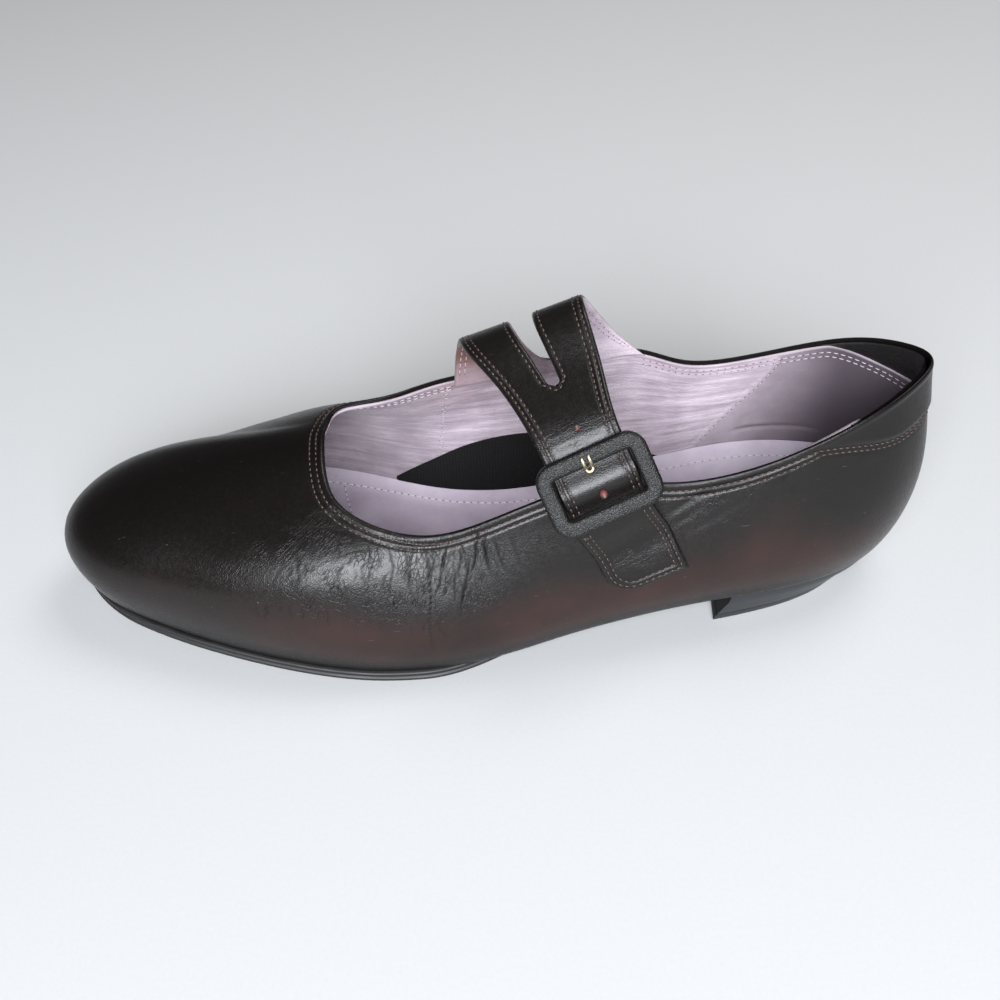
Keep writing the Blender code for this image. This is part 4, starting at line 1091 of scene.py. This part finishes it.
def stitches(name, rows, pitch, radius, finishes, slot, hole=1.45):
    """Rows of lockstitches: short bowed threads with a needle hole between each two."""
    # rings of one thread: share of the pitch, then height and thickness in thread radii
    rings = ((0.13, -0.9, 0.45), (0.25, 0.05, 0.9), (0.5, 0.42, 1.0), (0.75, 0.05, 0.9),
             (0.87, -0.9, 0.45))
    sides = 6
    turn = np.arange(sides)[:, None] / sides * math.tau
    ends = [[0, 1, 2, 3], [0, 3, 4, 5], [27, 26, 25, 24], [29, 28, 27, 24]]
    thread = np.vstack([grid_faces(len(rings), sides, False, True), ends])
    funnel = np.array([[0, 1, 2, 3], [0, 3, 4, 5], [0, 5, 6, 1]])
    points, faces, slots = [], [], []
    for line, normal in rows:
        steps = np.linalg.norm(np.diff(line, axis=0), axis=1)
        length = np.concatenate([[0], np.cumsum(steps)])
        count = max(1, int(round(length[-1] / pitch)))
        pace = length[-1] / count

        def at(values, where):
            return np.stack([np.interp(where, length, values[:, k]) for k in range(3)], -1)

        def axes(share):
            where = (np.arange(count) + share) * pace
            centre, up = at(line, where), unit(at(normal, where))
            ahead = unit(at(line, where + 1e-4) - at(line, where - 1e-4))
            return (v[:, None] for v in (centre, up, ahead, np.cross(ahead, up)))

        tubes = []
        for share, lift, size in rings:
            centre, up, ahead, across = axes(share)
            tubes.append(centre + up * radius * lift
                         + radius * size * (across * np.cos(turn) + up * np.sin(turn)))
        # each needle hole is a shallow funnel on the leather, in the second finish, which
        # paints the shade inside the hole
        centre, up, ahead, across = axes(0)
        mouth = centre + up * HOLE_RIM + hole * radius * (across * np.cos(turn)
                                                          + ahead * np.sin(turn))
        pits = [centre + up * THREAD_CLEAR, mouth]
        for finish, (shape, pattern) in enumerate(((tubes, thread), (pits, funnel))):
            shape = np.concatenate(shape, axis=1)
            start = sum(len(p) for p in points) + shape.shape[1] * np.arange(count)
            points.append(shape.reshape(-1, 3))
            faces.append((pattern + start[:, None, None]).reshape(-1, 4))
            slots.append(np.full(count * len(pattern), finish))
    return piece(name, np.concatenate(points), np.concatenate(faces), finishes, slot=slot,
                 slots=np.concatenate(slots))


def outer_row(run, which):
    """A row of stitches on the upper's outside, and its normals."""
    drop = seam_drops(run)[which]
    rise = rise_below_top(run, drop)
    return wall(run, rise, edge_relief(run, drop)), wall_normal(run, rise)


def strap_row(inset, under=False):
    """A row of stitches round the strap inside its edge, root to tip and back."""
    front = np.linspace(0.0005, TIP_PLACE - TIP_RADIUS, 200)
    width = strap_width(front)
    turn = np.linspace(0, math.pi / 2, 24)[1:]
    reach = TIP_RADIUS - inset
    end = TIP_PLACE - inset
    across = np.linspace(TIP_RADIUS / STRAP_WIDTH, 1 - inset / STRAP_WIDTH, 30)[1:]
    back = np.linspace(end, 0.0005, 230)[1:]
    place = np.concatenate([front, TIP_PLACE - TIP_RADIUS + reach * np.sin(turn),
                            np.full(29, end), back])
    side = np.concatenate([inset / width,
                           (TIP_RADIUS - reach * np.cos(turn)) / STRAP_WIDTH, across,
                           1 - inset / strap_width(back)])
    return strap_line(place, side, under)


def strap_line(place, side, under=False):
    """Points and normals on the strap's face, or on its underside."""
    normal = strap_normal(place, side)
    if under:
        return strap_point(place, side) - normal * STRAP_THICKNESS / 2, -normal
    height = STRAP_THICKNESS / 2 + strap_top(place, side)[0]
    return strap_point(place, side) + normal * height[:, None], normal


def slit_row():
    """The row of stitches round the slit."""
    place = np.linspace(SLIT_FROM, SLIT_TO, 120)
    width = strap_width(place)
    half = slit_half(place) + SLIT_ROW / width
    turn = np.linspace(0, math.pi, 22)[1:-1]
    wide = strap_width(np.array([SLIT_TO]))[0]
    place = np.concatenate([place, SLIT_TO + SLIT_ROW * np.sin(turn), place[::-1]])
    side = np.concatenate([0.5 - half, 0.5 - SLIT_ROW * np.cos(turn) / wide,
                           (0.5 + half)[::-1]])
    return strap_line(place, side)


def inner_row(run, rise):
    """A line of stitches on the lining's face, and its normals into the shoe."""
    return lining_face(run, rise)[0], -wall_normal(run, rise)


def footbed_point(share, side, lift=0.0):
    """A point on the padded sock: share runs from the toe back, side from outer to inner."""
    outer, inner = HEEL_RUN * share, GIRTH - (GIRTH - HEEL_RUN) * share
    cupped = smooth((share - 0.42) / 0.35)
    level = SOCK_RIM + SEAT_CUP * cupped
    rims = [plain_wall(run, level) - wall_normal(run, level)
            * (LEATHER + SOCK_GAP + 0.0006 * cupped)[..., None] for run in (outer, inner)]
    point = rims[0] * (1 - side)[..., None] + rims[1] * side[..., None]
    x, y, rim = (point[..., k].copy() for k in range(3))
    bed = underside(x) + SOLE_THICKNESS + GAP + INSOLE_THICKNESS
    width = np.linalg.norm(rims[1] - rims[0], axis=-1)
    from_edge = np.minimum(side, 1 - side) * width
    toe, back = plain_wall(np.array([0.0, HEEL_RUN]),
                           np.array([SOCK_RIM, SOCK_RIM + SEAT_CUP]))[:, 0]
    # it climbs to its rim at the sides, at the toe and at the back
    climb = 0
    for away, reach in ((from_edge, np.minimum(0.0075 + 0.0035 * cupped, 0.35 * width)),
                        (x - toe - LEATHER - SOCK_GAP, 0.006),
                        (back - LEATHER - 0.0015 - x, 0.011)):
        climb = np.maximum(climb, np.clip(1 - away / reach, 0, 1) ** 2)
    hollow = 0.0006 * smooth(from_edge / 0.02) * hump(x / LAST_LENGTH, 0.33, 0.08)
    uneven = 0.00012 * soft_noise(x / 0.011, y / 0.011, 41)
    point[..., 2] = bed + climb * (rim - bed) - hollow + uneven + lift
    return point


def sock_row(shares, sides):
    """A row of stitches on the sock, and its normals."""
    line = footbed_point(shares, sides, THREAD_CLEAR)
    return line, np.broadcast_to(np.array([0, 0, 1.0]), line.shape)


def sock_line(places, sides):
    """A row across the sock at distances back from the toe, for places across it."""
    shares = np.linspace(0.05, 0.95, 400)
    found = []
    for place, side in zip(places, sides):
        track = footbed_point(shares, np.full(400, side))[:, 0]
        found.append(np.interp(place, track, shares))
    return sock_row(np.array(found), np.asarray(sides))


def footbed(finish):
    """The padded footbed under its lilac sock, curling up to the lining all round."""
    along, across = np.meshgrid(0.012 + 0.976 * eased(240), eased(56), indexing="ij")
    face = footbed_point(along, across)
    bottom = face.copy()
    floor = underside(face[..., 0]) + SOLE_THICKNESS + GAP
    # the rim is only as thick as the sock; the middle lies on the sole
    bottom[..., 2] = np.maximum(floor, face[..., 2] - INSOLE_THICKNESS)
    rows, cols = along.shape
    points, faces = layers(face, bottom)
    rim = np.concatenate([np.arange(cols), np.arange(1, rows) * cols + cols - 1,
                          (rows - 1) * cols + np.arange(cols - 2, -1, -1),
                          np.arange(rows - 2, 0, -1) * cols])
    ahead = np.roll(rim, -1)
    under = rows * cols
    faces.append(np.stack([ahead, rim, rim + under, ahead + under], axis=-1))
    # painted shade on the sock towards the toe, where the vamp covers it
    dark = 0.15 * smooth((0.24 - face[..., 0] / LAST_LENGTH) / 0.14)
    marks = {"crease": np.concatenate([np.ravel(dark), np.zeros(under)])}
    made = piece("footbed", points, np.concatenate(faces), [finish],
                 stands_for=("insole",), slot="insole", marks=marks)
    return made


def arch_elastic(finish):
    """The black elastic let into the lining along the inner side of the arch."""
    first = STATION_RUN["inner quarter"] - GORE_REACH
    last = STATION_RUN["inner throat"]
    share = eased(110)
    run = first + (last - first) * share
    height = GORE_TIP + (GORE_HEIGHT - GORE_TIP) * np.sin(math.pi * share**1.25)
    level = eased(30)[:, None]
    rise = GORE_FOOT + height * level
    wide = np.broadcast_to(run, rise.shape)
    edge = np.sqrt(np.clip(np.minimum(level, 1 - level) * height * 60 / 0.5, 0, 1))
    edge = edge * np.sqrt(np.clip(np.minimum(share, 1 - share) / 0.01, 0, 1))
    middle = LEATHER + GAP + 0.00035 + 0.00025 * soft_noise(wide / 0.02, rise * 9, 51)
    points, faces = layers(*(
        plain_wall(wide, rise)
        - wall_normal(wide, rise) * (middle + sign * edge * GORE_THICKNESS / 2)[..., None]
        for sign in (1, -1)))
    return piece("arch_elastic", points, np.concatenate(faces), [finish],
                 stands_for=("arch_gore",), slot="arch_gore", weld=1e-6)


def heel_facing(finish):
    """The dark quilted facing inside the back of the collar, above the lining's edge."""
    half = 0.064 * GIRTH
    columns = np.linspace(HEEL_RUN - half, HEEL_RUN + half, 220)
    share = np.linspace(0, 1, 30)[:, None]
    high = rise_below_top(columns, np.full(len(columns), 0.0006))
    low = rise_below_top(columns, lining_top(columns) + 0.002)
    rise = high + (low - high) * share
    run = np.broadcast_to(columns, rise.shape)
    ends = np.sqrt(np.clip((half - np.abs(run - HEEL_RUN)) / 0.003, 0, 1))
    pillow = np.sin(math.pi * np.clip(share * 1.15, 0, 1)) ** 0.5
    pad = 0.0003 + 0.00055 * pillow * ends
    pad = pad + 0.00005 * soft_noise(run / 0.0016, rise * 90, 61) * ends
    base, normal = plain_wall(run, rise), wall_normal(run, rise)
    points, faces = layers(base - normal * (FACING_BACK + pad)[..., None],
                           base - normal * FACING_BACK)
    return piece("heel_facing", points, np.concatenate(faces), [finish], slot="upper",
                 marks={"flex": np.ones(len(points))})


def ring_solid(name, levels, finish, **more):
    """A closed solid of rings one over another, its two ends closed by rungs."""
    count = levels[0].shape[0]
    points = np.concatenate(levels)
    faces = [grid_faces(len(levels), count, False, True)]
    rungs = np.arange(1, count // 2 - 1)
    for start, turned in ((0, True), ((len(levels) - 1) * count, False)):
        cap = np.stack([rungs, rungs + 1, count - rungs - 1, count - rungs], axis=-1) + start
        faces.append(cap[:, ::-1] if turned else cap)
    last = (len(levels) - 1) * count
    half = count // 2
    ends = [(1, 0, count - 1), (half + 1, half, half - 1),
            (last, last + 1, last + count - 1), (last + half - 1, last + half, last + half + 1)]
    return piece(name, points, np.concatenate(faces), [finish], extra=ends, **more)


def outsole(finish):
    """The thin sole, with its bevels and the channel run round its edge."""
    run = np.arange(720) / 720 * GIRTH
    x = STATION_AT(run)[:, 0] / LAST_LENGTH
    behind = smooth((x - 0.42) / 0.2)
    overhang = sole_overhang(run) - EDGE_TRIM * (1 - behind) - WAIST_TRIM * behind
    overhang = overhang - TOE_TRIM * smooth((0.08 - x) / 0.08)
    levels = []
    # depth as a share of the sole, and how far the edge stands in there
    for depth, inset in ((0, 0.0012), (0, 0.0005), (0.04, 0.0002), (0.12, 0), (0.36, 0.00005),
                         (0.42, 0.0004), (0.46, 0.0006), (0.52, 0.0006), (0.56, 0.0004),
                         (0.62, 0.00002), (0.75, 0), (0.88, 0.0001), (0.96, 0.0005),
                         (1.0, 0.0012)):
        plan = foot_ring(run, overhang - inset)
        top = underside(plan[:, 0]) + SOLE_THICKNESS
        lift = 0.00025 if depth == 0 and inset > 0.001 else 0.0
        levels.append(np.column_stack([plan, top - depth * SOLE_THICKNESS + lift]))
    return ring_solid("sole", levels[::-1], finish, stands_for=("outsole",), slot="outsole")


def plan_solid(name, levels, finish, breast, **more):
    """A closed solid between outlines of the heel, with flat ends and its own breast, whose
    faces take the second finish: painted near black, as shade.
    """
    count = levels[0].shape[0]
    slots = np.tile(np.arange(count) >= HEEL_POINTS - 1, len(levels) - 1).astype(int)
    last = (len(levels) - 1) * count
    ends = [list(range(count))[::-1], list(range(last, last + count))]
    made = piece(name, np.concatenate(levels), grid_faces(len(levels), count, False, True),
                 [finish, breast], slots=slots, extra=ends, **more)
    made.data.set_sharp_from_angle(angle=math.radians(35))
    return made


def heel(cover, rubber, breast):
    """The covered heel and the top piece that it stands on."""
    foot = LIFT_THICKNESS + LIFT_GAP
    levels = []
    for share, inset in ((0.0, 0.00015), (0.012, 0.00004), (0.03, 0), (0.2, 0), (0.4, 0),
                         (0.6, 0), (0.8, 0), (0.93, 0), (1.0, 0.0002), (1.0, 0.0012)):
        plan = heel_outline(foot + share * (SEAT_HEIGHT + SOLE_THICKNESS - foot), inset)
        top = underside(plan[:, 0]) + SOLE_THICKNESS
        levels.append(np.column_stack([plan, foot + share * (top - foot)]))
    plan_solid("heel_cover", levels, cover, breast, stands_for=("heel_block",),
               slot="heel_block")
    levels = []
    for height, inset in ((0, 0.0007), (0.0002, 0.00025), (0.0006, 0), (0.0026, 0),
                          (0.00295, 0.00004), (LIFT_THICKNESS, 0.00015)):
        plan = heel_outline(height, inset)
        levels.append(np.column_stack([plan, np.full(len(plan), height)]))
    plan_solid("heel_top_piece", levels, rubber, breast, stands_for=("heel_lift",),
               slot="heel_lift")


def buckle_place(across, along, out):
    """A point in the buckle's own axes, out measured from the strap's upper face."""
    base = BUCKLE_CENTRE + OUTWARD * (STRAP_THICKNESS / 2)
    return (base + ACROSS * np.asarray(across)[..., None] + ALONG * np.asarray(along)[..., None]
            + OUTWARD * np.asarray(out)[..., None])


def covered_buckle(finish):
    """The frame in its pebbled leather, softly rounded, thinner towards the window."""
    bar = BUCKLE_BAR + COVER_PADDING
    half_x = (BUCKLE_LENGTH + COVER_OUT - bar) / 2
    half_y = (BUCKLE_HEIGHT + COVER_OUT - bar) / 2
    places = []
    for turn, (sx, sy) in enumerate(((1, 1), (-1, 1), (-1, -1), (1, -1))):
        angle = math.pi / 2 * (turn + np.linspace(0, 1, 14))
        x = sx * (half_x - BUCKLE_CORNER) + BUCKLE_CORNER * np.cos(angle)
        y = sy * (half_y - BUCKLE_CORNER) + BUCKLE_CORNER * np.sin(angle)
        places.append(np.stack([x, y, np.cos(angle), np.sin(angle)], axis=-1))
    rows = []
    for i, arc in enumerate(places):
        ahead = places[(i + 1) % 4]
        between = np.linspace(arc[-1], ahead[0], 22 if i % 2 == 0 else 12)[1:-1]
        rows += [arc, between]
    path = np.concatenate(rows)
    half, high = bar / 2, BUCKLE_DEPTH
    turn = np.linspace(0, math.tau, 28, endpoint=False)
    wide = np.sign(np.cos(turn)) * np.abs(np.cos(turn)) ** 0.55 * half
    tall = high / 2 + np.sign(np.sin(turn)) * np.abs(np.sin(turn)) ** 0.55 * high / 2
    along = np.arange(len(path))[:, None]
    uneven = 0.00002 * soft_noise(along / 3 + 0 * turn, 0 * along + turn * 2, 71)
    w = wide + uneven * np.cos(turn)
    h = tall + uneven * np.sin(turn)
    points = buckle_place(path[:, :1] + w * path[:, 2:3], path[:, 1:2] + w * path[:, 3:4],
                          FRAME_LIFT + h)
    return piece("buckle_leather", points, grid_faces(len(path), 28, True, True), [finish],
                 stands_for=("buckle_frame",), slot="buckle_frame")


def bent_wire(name, path, radius, finish, **more):
    """A round wire along a path, with its ends drawn in."""
    turn = np.arange(12) / 12 * math.tau
    ahead = unit(np.gradient(path, axis=0))
    side = unit(np.cross(ahead, OUTWARD))
    up = np.cross(side, ahead)
    size = np.full(len(path), radius)
    size[[0, -1]] *= 0.35
    size[[1, -2]] *= 0.85
    ring = path[:, None] + size[:, None, None] * (
        side[:, None] * np.cos(turn)[:, None] + up[:, None] * np.sin(turn)[:, None])
    points = ring.reshape(-1, 3)
    last = (len(path) - 1) * 12
    ends = [list(range(12))[::-1], list(range(last, last + 12))]
    return piece(name, points, grid_faces(len(path), 12, False, True), [finish],
                 extra=ends, **more)


def prong(finish):
    """The pin's forked tip: up out of the hole and on to the frame's inner edge."""
    turn = np.linspace(0, math.pi, 17)
    x = np.concatenate([np.full(9, -PRONG_HALF), -PRONG_HALF * np.cos(turn)[1:-1],
                        np.full(9, PRONG_HALF)])
    y = np.concatenate([np.linspace(PRONG_TIP, PRONG_HOLE, 9),
                        PRONG_HOLE + PRONG_HALF * np.sin(turn)[1:-1],
                        np.linspace(PRONG_HOLE, PRONG_TIP, 9)])
    near_bar = smooth((PRONG_HOLE - y) / 0.0022)
    bar_top = FRAME_LIFT + BUCKLE_DEPTH + PRONG_WIRE + 0.00005
    out = (STRAP_BULGE + PRONG_WIRE * 0.6) * (1 - near_bar) + bar_top * near_bar
    path = buckle_place(PRONG_PLACE + 0.0004 + x, y, out)
    return bent_wire("buckle_pin", path, PRONG_WIRE, finish, stands_for=("buckle_prong",),
                     slot="buckle_prong")


class ShoeSettings(bpy.types.PropertyGroup):
    """The sizes and colours that a user would change."""

    leather: FloatVectorProperty(
        name="Leather", description="Waxed calf in shade", subtype="COLOR",
        default=linear("0d0908"))
    leather_warm: FloatVectorProperty(
        name="Worn leather", description="Waxed calf where the dye is thin",
        subtype="COLOR", default=linear("311d19"))
    lining: FloatVectorProperty(
        name="Lining", description="Lining leather", subtype="COLOR",
        default=linear("b3a5ae"))
    sock: FloatVectorProperty(
        name="Sock", description="Sock leather on the footbed", subtype="COLOR",
        default=linear("bdb1bd"))
    stitch_pitch: FloatProperty(
        name="Stitch length", description="From one needle hole to the next",
        default=0.0019, min=0.001, max=0.005, unit="LENGTH", precision=4)
    thread: FloatProperty(
        name="Thread radius", description="Half the thickness of the sewing thread",
        default=0.00027, min=0.0001, max=0.0006, unit="LENGTH", precision=5)


def settings():
    """This scene's sizes and colours."""
    return bpy.context.scene.mary_jane


class SHOE_OT_upper(bpy.types.Operator):
    """Builds the creased outer leather"""

    bl_idname = "shoe.upper"
    bl_label = "Upper leather"

    def execute(self, context):
        s = settings()
        outer_shell(waxed_calf("waxed calf", s.leather[:], s.leather_warm[:], 0.32))
        return {"FINISHED"}


class SHOE_OT_lining(bpy.types.Operator):
    """Builds the lilac lining, the arch elastic and the dark facing at the heel"""

    bl_idname = "shoe.lining"
    bl_label = "Lining"

    def execute(self, context):
        lining(pigskin_lining("lining leather", settings().lining[:], "7d6c79", 0.62))
        arch_elastic(ribbed_elastic("woven elastic", "070606", "0d0b0b"))
        heel_facing(waxed_calf("heel facing leather", "090706", "100c0b", 0.55))
        return {"FINISHED"}


class SHOE_OT_footbed(bpy.types.Operator):
    """Builds the padded footbed"""

    bl_idname = "shoe.footbed"
    bl_label = "Footbed"

    def execute(self, context):
        footbed(pigskin_lining("sock leather", settings().sock[:], "9a8c9a", 0.6))
        return {"FINISHED"}


class SHOE_OT_strap(bpy.types.Operator):
    """Builds the slit instep strap"""

    bl_idname = "shoe.strap"
    bl_label = "Strap"

    def execute(self, context):
        s = settings()
        strap_leather(
            waxed_calf("waxed strap calf", s.leather[:], s.leather_warm[:], 0.34, 0.35),
            pigskin_lining("strap lining", s.lining[:], "7d6c79", 0.62))
        return {"FINISHED"}


class SHOE_OT_buckle(bpy.types.Operator):
    """Builds the covered buckle and its pin, and gives the bar its plated finish"""

    bl_idname = "shoe.buckle"
    bl_label = "Buckle"

    def execute(self, context):
        covered_buckle(pebbled_leather("pebbled buckle leather", "090807", "141110"))
        prong(plated_wire("pale plated wire", "e8dfc8", 0.42))
        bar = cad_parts["centre_bar"]
        bar.data.materials.clear()
        bar.data.materials.append(plated_wire("plated bar", "7a6a50", 0.4))
        return {"FINISHED"}


class SHOE_OT_sole(bpy.types.Operator):
    """Builds the sole and the covered heel"""

    bl_idname = "shoe.sole"
    bl_label = "Sole and heel"

    def execute(self, context):
        outsole(stained_edge("inked sole edge", "0c0a0b", "171515", 0.5))
        # the heel's breast is painted near black, as painted shade
        heel(stained_edge("covered heel", "18191b", "26282b", 0.38),
             stained_edge("heel rubber", "141517", "202224", 0.45),
             stained_edge("heel breast painted shade", "040405", "070708", 0.9))
        return {"FINISHED"}


class SHOE_OT_stitching(bpy.types.Operator):
    """Sews every visible row of stitches"""

    bl_idname = "shoe.stitching"
    bl_label = "Stitching"

    def execute(self, context):
        s = settings()
        # the needle holes' finishes are painted shade: near black on the calf and dark lilac on
        # the lining
        brown = [bonded_thread("brown thread", "261a17", "4a3731"),
                 stained_edge("needle hole", "070505", "0a0707", 0.8)]
        lilac = [bonded_thread("lilac thread", "8c7c87", "b5a7b1"),
                 stained_edge("lining needle hole", "4a3c44", "5a4a52", 0.8)]
        pale = [bonded_thread("pale thread", "c4b8c2", "ddd3da"), lilac[1]]
        # round the upper, from just behind the strap's root to just in front of it
        start = STATION_RUN["strap front"] - GIRTH + SEAM_END
        end = STATION_RUN["strap rear"] - SEAM_END
        run = np.linspace(start, end, 1200) % GIRTH
        stitches("upper_stitches", [outer_row(run, 0), outer_row(run, 1)],
                 s.stitch_pitch, s.thread, brown, slot="upper")
        rows = [strap_row(STRAP_ROWS[0]), strap_row(STRAP_ROWS[1]), slit_row()]
        stitches("strap_stitches", rows, s.stitch_pitch, s.thread, brown, slot="strap")
        rows = [strap_row(STRAP_ROWS[0], True), strap_row(STRAP_ROWS[1], True)]
        run = np.linspace(start, end, 1300) % GIRTH
        for drop in LINING_ROWS:
            rows.append(inner_row(run, rise_below_top(run, lining_top(run) + drop)))
        # the heel lining's seam, on both sides
        rise = 0.93 - 0.70 * np.linspace(0, 1, 60)
        seam = heel_seam_run(rise) - 0.0013
        rows += [inner_row(seam, rise), inner_row(2 * HEEL_RUN - seam, rise)]
        stitches("lining_stitches", rows, *LINING_STITCH, lilac, slot="insole", hole=1.2)
        # the joint in front of the strap's root, sewn in a zigzag
        teeth = 34
        share = np.linspace(0, 1, teeth)
        run = (0.7564 + 0.0125 * share) * GIRTH + 0.0008 * (-1) ** np.arange(teeth)
        rows = [inner_row(run, 0.95 - 0.72 * share)]
        stitches("lining_zigzag", rows, *ZIGZAG_STITCH, lilac, slot="insole", hole=1.0)
        back = np.linspace(0.22, 0.955, 170)
        rows = [sock_row(back, np.full(170, side)) for side in (0.055, 0.945)]
        across = np.linspace(0.93, 0.10, 50)
        rows.append(sock_line(0.0772 + 0.022 * (0.94 - across) ** 1.1, across))
        stitches("footbed_stitches", rows, *SOCK_STITCH, pale, slot="insole", hole=1.0)
        return {"FINISHED"}


def area_light(name, place, target, size, power, tint):
    """One soft light, turned to face a point."""
    data = bpy.data.lights.new(name, "AREA")
    data.shape = "RECTANGLE"
    data.size, data.size_y = size
    data.energy = power
    data.color = tint
    made = bpy.data.objects.new(name, data)
    made.location = place
    made.rotation_mode = "QUATERNION"
    made.rotation_quaternion = (Vector(target) - Vector(place)).to_track_quat("-Z", "Y")
    bpy.context.collection.objects.link(made)


class SHOE_OT_stage(bpy.types.Operator):
    """Builds the pale floor, the soft lights and the camera"""

    bl_idname = "shoe.stage"
    bl_label = "Stage"

    def execute(self, context):
        data = bpy.data.meshes.new("floor")
        data.from_pydata([(-4, -4, 0), (4, -4, 0), (4, 4, 0), (-4, 4, 0)], [], [(0, 1, 2, 3)])
        floor = bpy.data.objects.new("floor", data)
        bpy.context.collection.objects.link(floor)
        finish, tree, shader, place = blank_material("matte studio paper")
        fibre = add(tree, "TexNoise", {"Vector": place, "Scale": 900}, "Fac")
        tone = add(tree, "MapRange", {0: fibre, 3: 0.42, 4: 0.45})
        connect(tree, shader, {"Base Color": tone, "Roughness": 0.9})
        floor.data.materials.append(finish)
        # a large cool window in front of the outer side, and a lamp above and behind the heel
        area_light("window", (-0.05, -1.12, 0.84), (0.0, 0, 0.03), (1.15, 0.8), 54,
                   (0.91, 0.95, 1.0))
        area_light("lamp", (0.62, 0.40, 1.40), (0, 0, 0), (0.8, 0.8), 13, (1.0, 0.98, 0.96))
        world = bpy.data.worlds.new("studio")
        context.scene.world = world
        world.use_nodes = True
        sky = world.node_tree.nodes["Background"]
        sky.inputs["Color"].default_value = (0.93, 0.95, 1.0, 1)
        sky.inputs["Strength"].default_value = 0.09
        context.scene.view_settings.view_transform = "Standard"
        az, el, roll = (math.radians(angle)
                        for angle in (CAMERA_AZIMUTH, CAMERA_HEIGHT, CAMERA_ROLL))
        back = Vector((math.sin(az) * math.cos(el), -math.cos(az) * math.cos(el),
                       math.sin(el)))
        right = Vector((math.cos(az), math.sin(az), 0))
        up = back.cross(right)
        right, up = (right * math.cos(roll) + up * math.sin(roll),
                     up * math.cos(roll) - right * math.sin(roll))
        lens = bpy.data.cameras.new("camera")
        lens.sensor_width = 36
        lens.lens = CAMERA_LENS
        lens.clip_start = 0.01
        camera = bpy.data.objects.new("camera", lens)
        bpy.context.collection.objects.link(camera)
        centre = Vector(CAMERA_TARGET) + Vector(SHIFT)
        place = centre + back * CAMERA_AWAY + right * CAMERA_RIGHT + up * CAMERA_UP
        turned = Matrix((right, up, back)).transposed().to_4x4()
        camera.matrix_world = Matrix.Translation(place) @ turned
        context.scene.camera = camera
        return {"FINISHED"}


OPERATORS = (SHOE_OT_upper, SHOE_OT_lining, SHOE_OT_footbed, SHOE_OT_strap, SHOE_OT_buckle,
             SHOE_OT_sole, SHOE_OT_stitching, SHOE_OT_stage)


class SHOE_PT_panel(bpy.types.Panel):
    """Lists the shoe's pieces in the sidebar"""

    bl_idname = "SHOE_PT_panel"
    bl_label = "Mary jane shoe"
    bl_space_type = "VIEW_3D"
    bl_region_type = "UI"
    bl_category = "Shoe"

    def draw(self, context):
        for label in ShoeSettings.__annotations__:
            self.layout.prop(context.scene.mary_jane, label)
        for operator in OPERATORS:
            self.layout.operator(operator.bl_idname)


def register():
    for made in (ShoeSettings, *OPERATORS, SHOE_PT_panel):
        bpy.utils.register_class(made)
    bpy.types.Scene.mary_jane = PointerProperty(type=ShoeSettings)


def unregister():
    del bpy.types.Scene.mary_jane
    for made in reversed((ShoeSettings, *OPERATORS, SHOE_PT_panel)):
        bpy.utils.unregister_class(made)


def main():
    register()
    for operator in OPERATORS:
        group, name = operator.bl_idname.split(".")
        getattr(getattr(bpy.ops, group), name)()


if __name__ == "__main__":
    main()
